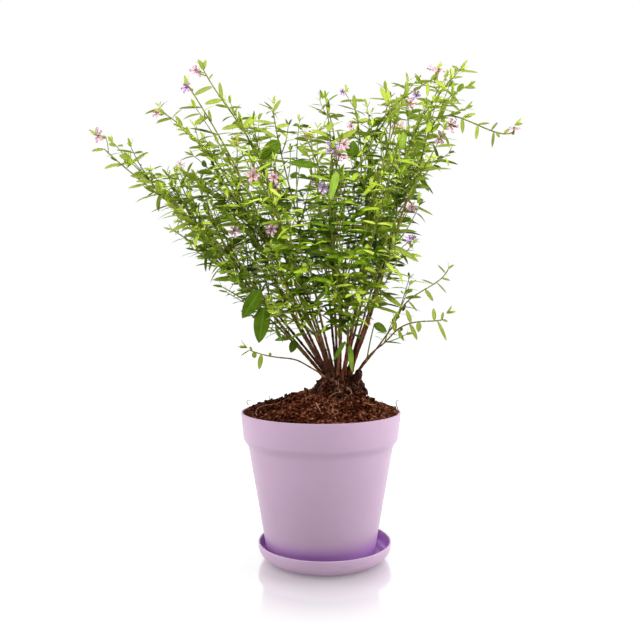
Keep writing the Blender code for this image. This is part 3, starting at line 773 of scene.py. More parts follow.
# %% Stem table
STEMS = (
    ("far_left", (-188, -20, 366), 24, 1, 3.0, 0.26),
    ("left_low", (-134, 26, 290), 24, 1, 2.8, 0.28),
    ("left_arch", (-146, 46, 398), 24, 1, 3.0, 0.30),
    ("left_flower", (-108, -38, 402), 20, 3, 3.0, 0.30),
    ("left_top", (-104, 10, 432), 16, 2, 3.0, 0.34),
    ("mid_left", (-42, 26, 402), 10, 1, 3.0, 0.28),
    ("mid", (2, -10, 398), 8, 1, 3.0, 0.28),
    ("mid_right", (24, 36, 415), 8, 1, 3.0, 0.32),
    ("right_mid", (54, -24, 402), 24, 5, 3.0, 0.30),
    ("right_flower", (100, 4, 428), 50, 9, 3.0, 0.32),
    ("right_top", (126, 44, 434), 70, 6, 2.9, 0.34),
    ("far_right", (160, -30, 372), 172, 4, 2.6, 0.42),
    ("right_low", (94, 54, 350), 50, 10, 2.8, 0.32),
    ("right_side", (78, -46, 306), 46, 9, 2.6, 0.32),
    ("low_right", (112, 6, 254), 14, 3, 2.0, 0.42),
    ("low_right_shoot", (106, -22, 216), 20, -3, 2.0, 0.36),
    ("low_left", (-84, -12, 238), 16, 1, 2.6, 0.28),
    ("low_left_shoot", (-62, -24, 187), 12, 1, 1.9, 0.30),
    ("front_low_left", (-42, -68, 262), 22, 1, 2.8, 0.28),
    ("front_low", (26, -72, 264), 22, 4, 2.8, 0.28),
    ("front_mid", (8, -104, 338), 30, 4, 2.8, 0.30),
    ("front_left", (-54, -92, 336), 26, 1, 2.9, 0.30),
    ("front_right", (58, -90, 346), 30, 5, 2.8, 0.30),
    ("back_left", (-82, 98, 380), 26, 1, 2.9, 0.30),
    ("back_mid", (-10, 108, 388), 24, 1, 2.9, 0.30),
    ("back_right", (76, 98, 394), 30, 4, 2.9, 0.30),
    ("back_low_left", (-84, 80, 278), 30, 1, 2.7, 0.28),
    ("back_low_right", (76, 84, 288), 34, 1, 2.7, 0.28),
)
NAMES = [row[0] for row in STEMS]
EVERY = np.arange(len(STEMS))
TIPS = column(STEMS, 1) * MM
BOWS = column(STEMS, 2)[:, None] * MM * UP
BELLIES = column(STEMS, 3) * MM
THICK = column(STEMS, 4) * MM
BARE = column(STEMS, 5)
print(len(STEMS), "stems; the highest tip is at", TIPS[:, 2].max())

# %% Feet and sways
STEM_ROOT = np.array([PLANT_X, 0.0, 161.0 * MM])
FAN_R = 28.0 * MM
FAN_LIMIT = 14.5 * MM
FOOT_SPACING = 4.4 * MM
FOOT_ROUNDS = 60
FOOT_PUSH = 0.25
SWAY = 4.0 * MM
MIDDLE_SHARE = 0.42
STEM_SEED = 21

# How the leafy upper part of a stem wanders from its plain curve: three steps (x, z) in millimetres.
BENDS = {
    "far_left": ((21, -10), (2, -15), (6, -12)),
    "left_arch": ((13, 17), (8, 15), (-2, 3)),
    "left_top": ((26, 14), (-1, -2), (0, -1)),
    "mid_right": ((23, -1), (17, -4), (5, -5)),
    "right_flower": ((-49, 12), (-9, 9), (-1, -8)),
    "right_top": ((-8, 12), (6, 1), (0, 5)),
    "far_right": ((-28, 43), (7, -34), (0, -5)),
    "right_side": ((12, -11), (-1, -3), (-4, 0)),
    "low_right": ((-13, 4), (8, -8), (0, 0)),
    "low_right_shoot": ((-20, 9), (2, -6), (-3, -5)),
    "mid": ((4, -1), (17, -5), (4, -9)),
    "mid_left": ((-5, -2), (-8, -6), (-1, -4)),
    "right_mid": ((5, -2), (26, -7), (2, -8)),
    "low_left_shoot": ((1, -6), (1, -7), (2, -2)),
}


def find_feet():
    """A foot lies towards its stem's tip, farther out for a lower lean; crowded feet are pushed apart."""
    flat = (TIPS - STEM_ROOT) * FLAT
    away = spans(flat)
    lean = away / (away + TIPS[:, 2] - STEM_ROOT[2])
    places = STEM_ROOT + unit(flat) * (FAN_R * lean)[:, None]
    for _ in range(FOOT_ROUNDS):
        for one, other in itertools.combinations(range(len(places)), 2):
            between = places[other] - places[one]
            short = FOOT_SPACING - np.linalg.norm(between)
            if short > 0:
                push = unit(between) * short * FOOT_PUSH
                places[one] -= push
                places[other] += push
        out = places - STEM_ROOT
        too_far = np.maximum(0, spans(out) - FAN_LIMIT)
        places -= unit(out) * too_far[:, None]
    return places


def find_sways():
    """Each stem's sway: its belly outwards, and a little to one side by the source's own random draws."""
    draws = random.Random(STEM_SEED)
    outwards = unit((TIPS - STEM_ROOT) * FLAT)
    aside = np.cross(UP, outwards)
    amounts = np.array([draws.uniform(-1.0, 1.0) for _ in STEMS])
    return outwards * BELLIES[:, None] + aside * (SWAY * amounts)[:, None]


def find_bends():
    """The table of bends as steps for every stem, zero where a stem has none."""
    steps = np.zeros((len(STEMS), 3, 3))
    for name, rows in BENDS.items():
        steps[NAMES.index(name)][:, [0, 2]] = np.array(rows) * MM
    return steps


FEET = find_feet()
SWAYS = find_sways()
BEND_STEPS = find_bends()


def on_stems(which, share):
    """Points on stems: which says the stem of each point, share how far up it the point lies.

    To the source's curve are added the bends, weighted by the last three quartic Bernstein polynomials of the
    share of the leafy part, so that nothing moves on the bare limb.
    """
    share = np.asarray(share, float)[..., None]
    middle = FEET[which] + (TIPS - FEET)[which] * MIDDLE_SHARE + BOWS[which]
    plain = bezier(FEET[which], middle, TIPS[which], share) + SWAYS[which] * np.sin(math.tau * share)
    part = np.clip((share - BARE[which][..., None]) / (1 - BARE[which][..., None]), 0, 1)
    weights = (6 * part**2 * (1 - part) ** 2, 4 * part**3 * (1 - part), part**4)
    return plain + sum(weight * BEND_STEPS[which][..., step, :] for step, weight in enumerate(weights))


sampled = on_stems(EVERY[:, None], np.linspace(0, 1, 41)[None])
STEM_LENGTHS = spans(np.diff(sampled, axis=1)).sum(axis=1)
solid_tops = np.array([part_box("stem_" + name)[1].z for name in NAMES])
top_gaps = np.abs(solid_tops - on_stems(EVERY, BARE)[:, 2])
print("stems are", STEM_LENGTHS.min().round(3), "to", STEM_LENGTHS.max().round(3), "m long")
print("tops of the bare limbs differ from the CAD by at most", (top_gaps.max() / MM).round(2), "mm")

# %% [markdown]
# ## Stems with bark
#
# Low down the stems are woody, brown to reddish and ridged. Higher up the bark is thin and tan, and the
# youngest part is green. One stem is one unbroken tube in life. Here it is cut at two joints into three
# pieces with a plain finish each, because a colour that follows the stem would be lost on so many thin
# tubes. Four low stems turn green later than the others. Each stem thickens at its foot where it joins
# the stump, and swells a little at each pair of leaves.

# %% Stem tubes
TIP_R = 0.5 * MM
SLIMNESS = 0.74
FLARE = 0.55
FLARE_LENGTH = 0.03
STEM_CORNERS = 12
YOUNG_FROM = 0.19
GREEN_FROM = 0.31
JOINT_SPREAD = 0.07
OVERLAP = 0.004
ROOTED = 0.06
NODE_STEP = 10.8 * MM
KNOT_RISE = 0.2
LATE_GREEN = {"low_left_shoot": 0.86, "low_left": 0.6, "low_right": 0.66, "low_right_shoot": 0.78}


def stem_radius(which, share):
    """A straight taper from foot to tip, with a short flare at the foot."""
    plain = SLIMNESS * THICK[which] / 2 * (1 - share) + TIP_R * share
    return plain * (1 + FLARE * np.exp(-np.maximum(share, 0) / FLARE_LENGTH))


def stem_tubes(which, start, end, rings, ridge, seed):
    """Some stems between two shares of their length, with relief as a share of the radius."""
    start, end, which = start[which, None], end[which, None], which[:, None]
    share = start + (end - start) * np.linspace(0, 1, rings)[None]
    paths = on_stems(which, share)
    radii = stem_radius(which, share)
    knots = np.maximum(0, np.sin(share * STEM_LENGTHS[which] / NODE_STEP * math.tau)) ** 8
    knots = 1 + KNOT_RISE * knots
    plain = tubes(paths, radii, STEM_CORNERS)
    relief = 1 + ridge * bark_relief(plain, seed)
    return tubes(paths, (radii * knots)[..., None] * relief, STEM_CORNERS)


# %% Stem finishes and pieces
WOODY_TONES = {
    "dark": ((0.018, 0.005, 0.003), (0.062, 0.02, 0.009), (0.15, 0.055, 0.024)),
    "red": ((0.035, 0.009, 0.004), (0.12, 0.034, 0.014), (0.26, 0.09, 0.036)),
    "tan": ((0.05, 0.018, 0.008), (0.17, 0.066, 0.03), (0.36, 0.17, 0.085)),
}
rooted = np.full(len(STEMS), -ROOTED)
young = YOUNG_FROM + JOINT_SPREAD * np.sin(5.0 * EVERY)
green = GREEN_FROM + JOINT_SPREAD * np.sin(7.0 * EVERY)
for name, share in LATE_GREEN.items():
    green[NAMES.index(name)] = share
for order, (name, colours) in enumerate(WOODY_TONES.items()):
    some = EVERY[EVERY % len(WOODY_TONES) == order]
    woody_bark = make_bark("bark_" + name, *colours)
    woody_points = stem_tubes(some, rooted, young + OVERLAP, rings=110, ridge=0.2, seed=31)
    covered = ["stem_" + NAMES[k] for k in some]
    make_piece("stems_woody_" + name, woody_points, woody_bark, covered)
young_bark = make_bark("bark_young", (0.05, 0.024, 0.006), (0.14, 0.08, 0.018), (0.28, 0.19, 0.05))
green_bark = make_bark("bark_green", (0.075, 0.082, 0.012), (0.155, 0.172, 0.026), (0.275, 0.295, 0.052))
young_points = stem_tubes(EVERY, young, green + OVERLAP, rings=60, ridge=0.08, seed=33)
make_piece("stems_young", young_points, young_bark, STEM_NODES)
green_points = stem_tubes(EVERY, green, np.ones(len(STEMS)), rings=70, ridge=0.04, seed=35)
make_piece("stems_green", green_points, green_bark, FOLIAGE_NODES)

# %% [markdown]
# ## Roots on the mound
#
# Old fibrous roots grip the mound round the stump, and finer ones wander over the soil or stand up from
# it. They are tubes again. Their paths start at the stump's foot, run outwards and follow the soil's own
# height, so that none floats.

# %% Rootlets
ROOT_WALL_GAP = 3 * MM


def root_paths(start_r, length, bearing, wander, lift, rings, rng):
    """Paths that run outwards over the soil from a circle about the plant, winding from side to side."""
    share = np.linspace(0, 1, rings)[None]
    phase = rng.uniform(0, 6, len(bearing))[:, None]
    turn = bearing[:, None] + wander[:, None] * np.sin(share * 5 + phase)
    step = (length / (rings - 1))[:, None]
    x = PLANT_X + start_r[:, None] * np.cos(bearing)[:, None] + np.cumsum(step * np.cos(turn), axis=1)
    y = start_r[:, None] * np.sin(bearing)[:, None] + np.cumsum(step * np.sin(turn), axis=1)
    limit = np.minimum(1, (SOIL_EDGE_R - ROOT_WALL_GAP) / np.hypot(x, y))
    x, y = x * limit, y * limit
    height = soil_height(x, y) + lift[:, None] * np.sin(math.pi * np.clip(share * 1.08, 0, 1)) * MM
    return np.stack([x, y, height], axis=-1)


ROOT_COUNT = 60
ROOT_RINGS = 14
rng = np.random.default_rng(8)
root_share = np.linspace(0, 1, ROOT_RINGS)[None]
root_bearing = rng.uniform(0, math.tau, ROOT_COUNT)
root_start = rng.uniform(16, 26, ROOT_COUNT) * MM
root_length = rng.uniform(6, 26, ROOT_COUNT) * MM
root_lift = rng.uniform(0.0, 2.0, ROOT_COUNT)
root_wander = rng.uniform(0.4, 1.4, ROOT_COUNT)
root_lines = root_paths(root_start, root_length, root_bearing, root_wander, root_lift, ROOT_RINGS, rng)
root_radii = (rng.uniform(0.15, 0.4, ROOT_COUNT) * MM)[:, None] * (1 - 0.7 * root_share)
root_finishes = {
    "dark": make_bark("root_dark", (0.02, 0.008, 0.004), (0.07, 0.03, 0.014), (0.16, 0.08, 0.04)),
    "red": make_bark("root_red", (0.05, 0.014, 0.006), (0.16, 0.05, 0.022), (0.3, 0.13, 0.07)),
    "pale": make_bark("root_pale", (0.13, 0.055, 0.03), (0.30, 0.16, 0.10), (0.50, 0.33, 0.23)),
}
make_piece("rootlets", tubes(root_lines, root_radii, 6), root_finishes["red"])

# %% Fibres listed one by one
# Each row: the start, the middle and the end in millimetres, the radius, and the tone.
FIBRES = (
    ((-65, 18, 132), (-67, 18, 136), (-62, 18, 136), 0.38, "dark"),
    ((-47, 24, 134), (-46, 24, 138), (-47, 24, 140), 0.34, "dark"),
    ((-33, 24, 136), (-30, 24, 140), (-23, 24, 143), 0.34, "dark"),
    ((-23, 24, 143), (-21, 24, 142), (-20, 24, 139), 0.34, "dark"),
    ((-53, -36, 131), (-54, -12, 135), (-38, -17, 138), 0.32, "pale"),
    ((-38, -17, 138), (-34, -14, 140), (-28, -23, 140), 0.26, "pale"),
    ((-10, -45, 138), (-13, -28, 144), (-5, -20, 147), 0.26, "pale"),
    ((-4, -37, 142), (-2, -43, 140), (0, -49, 136), 0.45, "pale"),
    ((8, -39, 141), (10, -48, 138), (6, -58, 133), 0.52, "pale"),
    ((-17, -56, 133), (-14, -49, 137), (-10, -48, 137), 0.40, "red"),
    ((9, -47, 138), (14, -50, 137), (10, -56, 134), 0.30, "pale"),
    ((54, -10, 134), (54, 6, 137), (54, 10, 139), 0.40, "dark"),
    ((68, 4, 131), (66, 4, 137), (69, 4, 138), 0.40, "dark"),
    ((21, -20, 151), (27, -21, 149), (20, -25, 145), 0.25, "pale"),
    ((15, -22, 149), (15, -20, 154), (15, -16, 159), 0.30, "pale"),
    ((6, -26, 145), (13, -24, 149), (20, -23, 149), 0.30, "pale"),
    ((21, -20, 153), (26, -20, 151), (25, -24, 146), 0.30, "pale"),
    ((1, -33, 143), (4, -38, 142), (8, -36, 142), 0.30, "red"),
    ((37, -22, 140), (43, -21, 138), (48, -9, 137), 0.30, "pale"),
    ((-31, -32, 138), (-26, -30, 140), (-21, -36, 139), 0.35, "red"),
)
fibre_share = np.linspace(0, 1, 20)[None, :, None]
fibre_ends = [column(FIBRES, k)[:, None] * MM for k in range(3)]
fibre_pull = fibre_ends[1] + 0.4 * (2 * fibre_ends[1] - fibre_ends[0] - fibre_ends[2])
fibre_lines = bezier(fibre_ends[0], fibre_pull, fibre_ends[2], fibre_share)
fibre_stray = np.stack([noise(fibre_lines, 5 * MM, seed) for seed in (41, 42, 43)], axis=-1)
fibre_lines = fibre_lines + 0.5 * MM * fibre_stray
fibre_taper = np.interp(fibre_share[..., 0], [0, 0.4, 1], [1, 1, 0.45])
fibre_r = column(FIBRES, 3)[:, None] * MM * fibre_taper
fibre_tones = column(FIBRES, 4)
for name, finish in root_finishes.items():
    fibre_points = tubes(fibre_lines[fibre_tones == name], fibre_r[fibre_tones == name], 7)
    make_piece("fibres_" + name, fibre_points, finish)


# %% Fibres on the stump
TANGLE_COUNT = 260
TANGLE_RINGS = 9
TANGLE_REACHES = ((0.95, 1.08), (1.0, 1.35), (0.95, 1.15))
rng = np.random.default_rng(16)
tangle_share = rng.uniform(0.02, 0.62, TANGLE_COUNT)
tangle_bearing = rng.uniform(0, math.tau, TANGLE_COUNT)
tangle_drift = rng.normal(0, 0.35, TANGLE_COUNT)
tangle_ends = []
for step, reaches in enumerate(TANGLE_REACHES):
    bearing = tangle_bearing + 0.5 * step * tangle_drift
    place = round_stump(tangle_share - 0.1 * step, bearing, rng.uniform(*reaches, TANGLE_COUNT))
    tangle_ends.append(place[:, None])
tangle_lines = bezier(*tangle_ends, np.linspace(0, 1, TANGLE_RINGS)[None, :, None])
tangle_ground = soil_height(tangle_lines[..., 0], tangle_lines[..., 1])
tangle_lines[..., 2] = np.maximum(tangle_lines[..., 2], tangle_ground)
tangle_r = (rng.uniform(0.14, 0.42, TANGLE_COUNT) * MM)[:, None] * np.linspace(1, 0.4, TANGLE_RINGS)[None]
make_piece("stump_fibres", tubes(tangle_lines, tangle_r, 5), old_bark)

# %% [markdown]
# ## Shoots on the stems
#
# From here on the plant grows by one rule, that of the CAD source, taken to finer twigs. A stem has nodes
# at even steps. Each node carries two leaves that face each other, and each pair is turned a quarter from
# the last. At every second node a side twig grows on either side, shorter towards the tip. Twigs have
# nodes in their turn, and short sprigs grow there. A twig that would come near another stem is made
# shorter, or left out.

# %% Nodes along shoots
TWIG_SPREAD = math.radians(38)
TWIG_LENGTH = 62.0 * MM
TWIGS_END = 0.8
TWIG_TRIES = 5
TWIG_SHRINK = 0.72
LIMB_GAP = 1.0 * MM
TWIG_LIMB_GAP = 3.0 * MM
SHARED_ROOM = 6.0 * MM
NODE_PLACES = (0.35, 0.85)
HEADING_STEP = 0.02
TURN_SPREAD = 0.2


def nodes_along(point_at, lengths, first, step, rng):
    """Leaf nodes at even steps on many shoots, as a dict of arrays with one entry for each node.

    shoot and order say which node it is. reach is its share of the leafy part, share that of the whole
    shoot. spot is its place, heading the way that the shoot runs there, and turn how its leaves are turned
    about that way.
    """
    counts = np.maximum(1, np.round(lengths * (1 - first) / step)).astype(int)
    shoot = np.repeat(np.arange(len(counts)), counts)
    order = np.arange(len(shoot)) - np.repeat(np.cumsum(counts) - counts, counts)
    reach = (order + rng.uniform(*NODE_PLACES, len(shoot))) / counts[shoot]
    share = first[shoot] + (1 - first[shoot]) * reach
    spot = point_at(shoot, share)
    heading = unit(point_at(shoot, share + HEADING_STEP) - point_at(shoot, share - HEADING_STEP))
    turn = rng.uniform(0, math.tau, len(counts))[shoot] + order * math.pi / 2
    turn = turn + rng.normal(0, TURN_SPREAD, len(shoot))
    return dict(shoot=shoot, order=order, reach=reach, share=share, spot=spot, heading=heading, turn=turn)


def sideways(heading, turn):
    """Directions square to the headings, turned about them."""
    side = unit(np.cross(heading, np.array([0.1, 0.25, 1.0])))
    return side * np.cos(turn)[:, None] + np.cross(heading, side) * np.sin(turn)[:, None]


def picked(nodes, mask):
    """The nodes for which the mask is true."""
    return {key: value[mask] for key, value in nodes.items()}


def gap_to_stems(points, own):
    """How much nearer each point is to its own stem than to any other, and how near it is to those."""
    lines = sampled.reshape(-1, 3)
    owner = np.repeat(EVERY, sampled.shape[1])
    apart = spans(points[:, None] - lines[None])
    mine = owner[None] == own[:, None]
    home = np.where(mine, apart, np.inf).min(axis=1)
    nearest = np.where(mine, np.inf, apart).min(axis=1)
    return nearest - home, nearest


# %% Nodes on the stems
# Beyond this share of a stem its leaves are listed in a table, for they show one by one.
HAND_FROM = {
    "far_left": 0.74,
    "left_flower": 0.82,
    "left_top": 0.83,
    "far_right": 0.72,
    "low_right": 0.60,
    "low_right_shoot": 0.48,
    "low_left": 0.82,
    "low_left_shoot": 0.34,
    "right_side": 0.62,
}
# One stem carries its first leaves farther up than the bare part of its solid reaches.
FIRST_LEAF = {"right_low": 0.42}
ruled_to = np.array([HAND_FROM.get(name, 1.0) for name in NAMES])
first_leaf = np.array([FIRST_LEAF.get(name, bare) for name, bare in zip(NAMES, BARE)])
stem_nodes = nodes_along(on_stems, STEM_LENGTHS, first_leaf, NODE_STEP, np.random.default_rng(1))
stem_nodes = picked(stem_nodes, stem_nodes["share"] < ruled_to[stem_nodes["shoot"]])
print(len(stem_nodes["spot"]), "nodes on the stems")

# %% Side twigs
TWIG_SCATTER = 0.12
TWIG_RISE = 0.18
TWIG_FOLLOW = 0.6
TWIG_END_RISE = 0.14
BOX_GAP = 4 * MM


def grow_twigs(nodes, own, length, rng):
    """Curved twigs from nodes: start, middle and end points, made shorter until they have room.

    A twig leaves at the twig angle and then bends towards the shoot's own heading and up to the light.
    """
    heading, start = nodes["heading"], nodes["spot"]
    spread = TWIG_SPREAD + rng.normal(0, TWIG_SCATTER, len(start))[:, None]
    out = heading * np.cos(spread) + sideways(heading, nodes["turn"]) * np.sin(spread)
    out = unit(out + TWIG_RISE * UP)
    later = unit(out + TWIG_FOLLOW * heading + rng.normal(0, TWIG_SCATTER, out.shape) + TWIG_END_RISE * UP)
    length = length.copy()
    room = np.zeros(len(start), bool)
    for _ in range(TWIG_TRIES):
        middle = start + out * (0.5 * length)[:, None]
        end = middle + later * (0.5 * length)[:, None]
        spare, near = gap_to_stems(end, own)
        room = (spare > -SHARED_ROOM) & (near > TWIG_LIMB_GAP) & in_box(end, BOX_GAP)
        length = np.where(room, length, length * TWIG_SHRINK)
    return dict(start=start[room], middle=middle[room], end=end[room], own=own[room], length=length[room])


TWIG_SHORTENING = 0.75
VIGOUR = THICK / THICK.max()
rng = np.random.default_rng(2)
branching = picked(stem_nodes, (stem_nodes["order"] % 2 == 0) & (stem_nodes["reach"] < TWIGS_END))
both = {key: np.concatenate([value, value]) for key, value in branching.items()}
both["turn"][len(branching["turn"]) :] += math.pi
twig_length = TWIG_LENGTH * (1 - TWIG_SHORTENING * both["reach"])
twig_length = twig_length * rng.uniform(0.5, 1.1, len(both["reach"])) * VIGOUR[both["shoot"]]
twigs = grow_twigs(both, both["shoot"], twig_length, rng)
print(len(twigs["start"]), "side twigs,", round(twigs["length"].mean() / MM, 1), "mm long on average")

# %% [markdown]
# ## Shoots that show
#
# A rule alone gives a shrub of the right kind, but not this one. Some shoots stand out against the light
# or fill a place that is full on the real plant, so they are listed one by one: the stem that carries each,
# the share of the stem where it leaves, and its tip in millimetres. They grow out of the stem like the
# other twigs, and the rule dresses them in the same way.

# %% Shoots listed one by one
SHOOTS = (
    ("far_left", 0.72, (-174, -22, 359)),
    ("far_left", 0.46, (-148, -3, 330)),
    ("left_arch", 0.46, (-123, 21, 343)),
    ("left_arch", 0.60, (-115, 29, 357)),
    ("left_top", 0.60, (-74, 10, 388)),
    ("left_flower", 0.66, (-102, -38, 384)),
    ("left_low", 0.62, (-129, 28, 306)),
    ("left_low", 0.58, (-112, 12, 271)),
    ("mid_left", 0.60, (-19, 13, 384)),
    ("mid", 0.60, (-16, 6, 375)),
    ("mid", 0.66, (4, -6, 399)),
    ("right_mid", 0.66, (72, -26, 408)),
    ("right_flower", 0.70, (84, 15, 420)),
    ("right_top", 0.76, (133, 30, 420)),
    ("right_top", 0.84, (123, 12, 430)),
    ("right_low", 0.66, (116, 34, 360)),
    ("right_low", 0.76, (104, 53, 355)),
    ("left_arch", 0.54, (-130, 26, 336)),
    ("right_side", 0.56, (75, -29, 277)),
    ("back_mid", 0.72, (-3, 102, 397)),
    ("back_left", 0.70, (-60, 80, 400)),
    ("far_left", 0.56, (-121, -8, 337)),
    ("far_left", 0.50, (-108, -2, 334)),
    ("far_left", 0.42, (-93, -12, 308)),
    ("left_low", 0.55, (-103, 6, 325)),
    ("left_low", 0.45, (-95, 14, 296)),
    ("left_flower", 0.45, (-81, -40, 324)),
    ("left_flower", 0.38, (-78, -34, 300)),
    ("left_arch", 0.40, (-78, 26, 331)),
    ("left_arch", 0.50, (-95, 20, 346)),
    ("right_top", 0.62, (94, 20, 398)),
    ("right_top", 0.55, (85, 34, 379)),
    ("right_flower", 0.62, (69, -8, 393)),
    ("right_low", 0.58, (94, 34, 363)),
    ("right_low", 0.52, (79, 30, 344)),
    ("right_top", 0.45, (67, 16, 358)),
    ("front_low", 0.34, (-10, -45, 224)),
    ("front_low", 0.36, (46, -50, 228)),
    ("front_low", 0.44, (10, -64, 240)),
    ("front_low_left", 0.40, (-24, -42, 238)),
    ("front_low", 0.30, (30, -40, 214)),
    ("mid", 0.30, (-14, -22, 236)),
    ("mid", 0.50, (22, -16, 330)),
    ("mid_right", 0.50, (30, 10, 332)),
    ("mid_right", 0.54, (10, 14, 340)),
    ("mid", 0.40, (-14, -14, 296)),
    ("mid_left", 0.42, (-16, 0, 300)),
    ("front_low", 0.30, (-17, -45, 223)),
    ("front_low", 0.32, (20, -48, 228)),
    ("front_low_left", 0.33, (-26, -42, 228)),
    ("front_low", 0.40, (7, -60, 233)),
    ("mid", 0.29, (-2, -20, 217)),
    ("right_mid", 0.32, (40, -22, 222)),
    ("front_low_left", 0.30, (-37, -32, 217)),
    ("low_left", 0.30, (-50, -14, 227)),
    ("front_mid", 0.31, (14, -36, 222)),
    ("far_left", 0.64, (-131, -12, 334)),
    ("far_left", 0.58, (-113, -8, 323)),
    ("far_left", 0.68, (-144, -14, 336)),
    ("far_left", 0.75, (-161, -14, 347)),
    ("left_low", 0.62, (-117, 18, 318)),
    ("left_arch", 0.44, (-106, 14, 328)),
    ("left_arch", 0.52, (-112, 24, 338)),
    ("left_low", 0.50, (-92, 6, 306)),
    ("left_flower", 0.42, (-88, -30, 322)),
    ("far_left", 0.66, (-135, -20, 322)),
    ("far_left", 0.80, (-160, -18, 356)),
    ("far_left", 0.60, (-124, -6, 336)),
    ("left_arch", 0.50, (-120, 18, 340)),
    ("left_low", 0.66, (-126, 22, 322)),
)
SHOOT_BOW = 0.16


def stems_of(rows):
    """The number of the stem that each row of a table names."""
    return np.array([NAMES.index(row[0]) for row in rows])


def leaving(rows, farther=0.0):
    """Where the rows of a table leave their stems: the place at the row's share of the stem, or farther."""
    return on_stems(stems_of(rows), column(rows, 1) + farther)


shoot_own = stems_of(SHOOTS)
shoot_start = leaving(SHOOTS)
shoot_end = column(SHOOTS, 2) * MM
shoot_span = spans(shoot_end - shoot_start)
shoot_heading = unit(leaving(SHOOTS, farther=0.05) - shoot_start)
shoot_middle = 0.5 * (shoot_start + shoot_end) + shoot_heading * SHOOT_BOW * shoot_span[:, None]
shoots = dict(start=shoot_start, middle=shoot_middle, end=shoot_end, own=shoot_own, length=shoot_span)
print(len(SHOOTS), "shoots set by hand, the longest", (shoot_span.max() / MM).round(), "mm")


# %% Sets of curves
def joined(*sets):
    """Several dicts of arrays, end to end."""
    return {key: np.concatenate([one[key] for one in sets]) for key in sets[0]}


def on_curves(curves):
    """A function that gives points on a set of curves, like on_stems."""

    def point_at(which, share):
        parts = [curves[key][which] for key in ("start", "middle", "end")]
        return bezier(*parts, np.asarray(share)[..., None])

    return point_at


# %% Twig nodes and sprigs
SPRIG_LENGTH = 17.0 * MM
TWIG_STEP = 12.0 * MM
TWIG_FIRST = 0.16
SPRIG_STEP = 6.0 * MM
SPRIG_FIRST = 0.25
SPRIG_CHANCE = 0.15
TUFT_CHANCE = 0.3

rng = np.random.default_rng(3)
branches = joined(twigs, shoots)
branch_first = np.full(len(branches["length"]), TWIG_FIRST)
branch_nodes = nodes_along(on_curves(branches), branches["length"], branch_first, TWIG_STEP, rng)
budding = rng.uniform(0, 1, len(branch_nodes["reach"])) < SPRIG_CHANCE * (1 - branch_nodes["reach"])
sprig_nodes = picked(branch_nodes, budding)
sprig_own = branches["own"][sprig_nodes["shoot"]]
sprig_size = SPRIG_LENGTH * rng.uniform(0.5, 1.25, len(sprig_own))
sprigs = grow_twigs(sprig_nodes, sprig_own, sprig_size, rng)
tufts = picked(stem_nodes, rng.uniform(0, 1, len(stem_nodes["reach"])) < TUFT_CHANCE)
tufts["turn"] = tufts["turn"] + rng.choice([0, math.pi], len(tufts["turn"]))
tuft_size = SPRIG_LENGTH * rng.uniform(0.3, 0.8, len(tufts["shoot"]))
tuft_sprigs = grow_twigs(tufts, tufts["shoot"], tuft_size, rng)
sprigs = joined(sprigs, tuft_sprigs)
sprig_first = np.full(len(sprigs["length"]), SPRIG_FIRST)
fine_nodes = nodes_along(on_curves(sprigs), sprigs["length"], sprig_first, SPRIG_STEP, rng)
print(len(sprigs["length"]), "sprigs")


# %% Twig pieces
def twig_points(curves, foot_r, tip_r, rings, corners):
    """Tapering tubes along a set of curves."""
    share = np.linspace(0, 1, rings)[None]
    which = np.arange(len(curves["start"]))[:, None]
    paths = on_curves(curves)(which, share)
    return tubes(paths, foot_r[:, None] * (1 - share) + tip_r * share, corners)


TWIG_TIP_R = 0.3 * MM
SPRIG_FOOT_R = 0.36 * MM
SPRIG_TIP_R = 0.24 * MM
branch_r = (0.42 + 0.3 * np.clip(branches["length"] / (60 * MM), 0, 1)) * MM
twig_shapes = twig_points(branches, branch_r, TWIG_TIP_R, rings=9, corners=6)
make_piece("side_twigs", twig_shapes, green_bark, FOLIAGE_NODES)
sprig_r = np.full(len(sprigs["length"]), SPRIG_FOOT_R)
sprig_shapes = twig_points(sprigs, sprig_r, SPRIG_TIP_R, rings=5, corners=5)
make_piece("fine_sprigs", sprig_shapes, green_bark)

# %% [markdown]
# ## Leaves
#
# A leaf is a thin blade, narrow and pointed, with a short stalk, folded a little along its middle rib,
# and bent back towards its tip. Its outline is a power of the distance from its foot times a power of the
# distance from its tip. As a stack of rings, each ring is a flat lozenge: right edge, rib above, left
# edge, rib below. So each leaf is a closed solid of a few dozen faces.


# %% Blades
def blades(leaves, outline, fold, thick, rings, half, ripple=0.0):
    """Many blades at once: closed stacks of flat rings along a bent spine.

    The leaves are a dict of arrays: root, direction, normal, length, width and bend. The half width at share
    t is the outline's value, t^a (1-t)^b over its own peak. The edges are raised by the fold, the spine sinks
    with the square of t by the bend, and a ripple makes the edges wave. half is the number of steps between
    the middle rib and the edge.
    """
    direction = unit(leaves["direction"])
    normal = unit(leaves["normal"] - direction * dot(leaves["normal"], direction))
    side = np.cross(normal, direction)
    axes = [axis[:, None, None] for axis in (leaves["root"], direction, side, normal)]
    length, width, bend = [leaves[key][:, None, None] for key in ("length", "width", "bend")]
    share = np.linspace(0, 1, rings)
    a, b = outline
    peak = (a / (a + b)) ** a * (b / (a + b)) ** b
    shape = np.clip(share**a * (1 - share) ** b / peak, 0.04, 1)
    across = np.linspace(1, -1, 2 * half + 1)
    above = np.concatenate([across, across[-2:0:-1]])
    level = np.concatenate([1 - across**2, -(1 - across[1:-1] ** 2)])
    share, shape = share[None, :, None], shape[None, :, None]
    out = above[None, None] * shape * width / 2
    waves = ripple * np.sin(9 * share + 5 * above[None, None] + 40 * axes[0][..., 0] / MM) * share
    domed = level[None, None] * thick / 2 * np.sqrt(shape)
    raised = fold * np.abs(out) + waves * width + domed - bend * length * share**2
    along = share * length + 0 * out
    return axes[0] + along[..., None] * axes[1] + out[..., None] * axes[2] + raised[..., None] * axes[3]


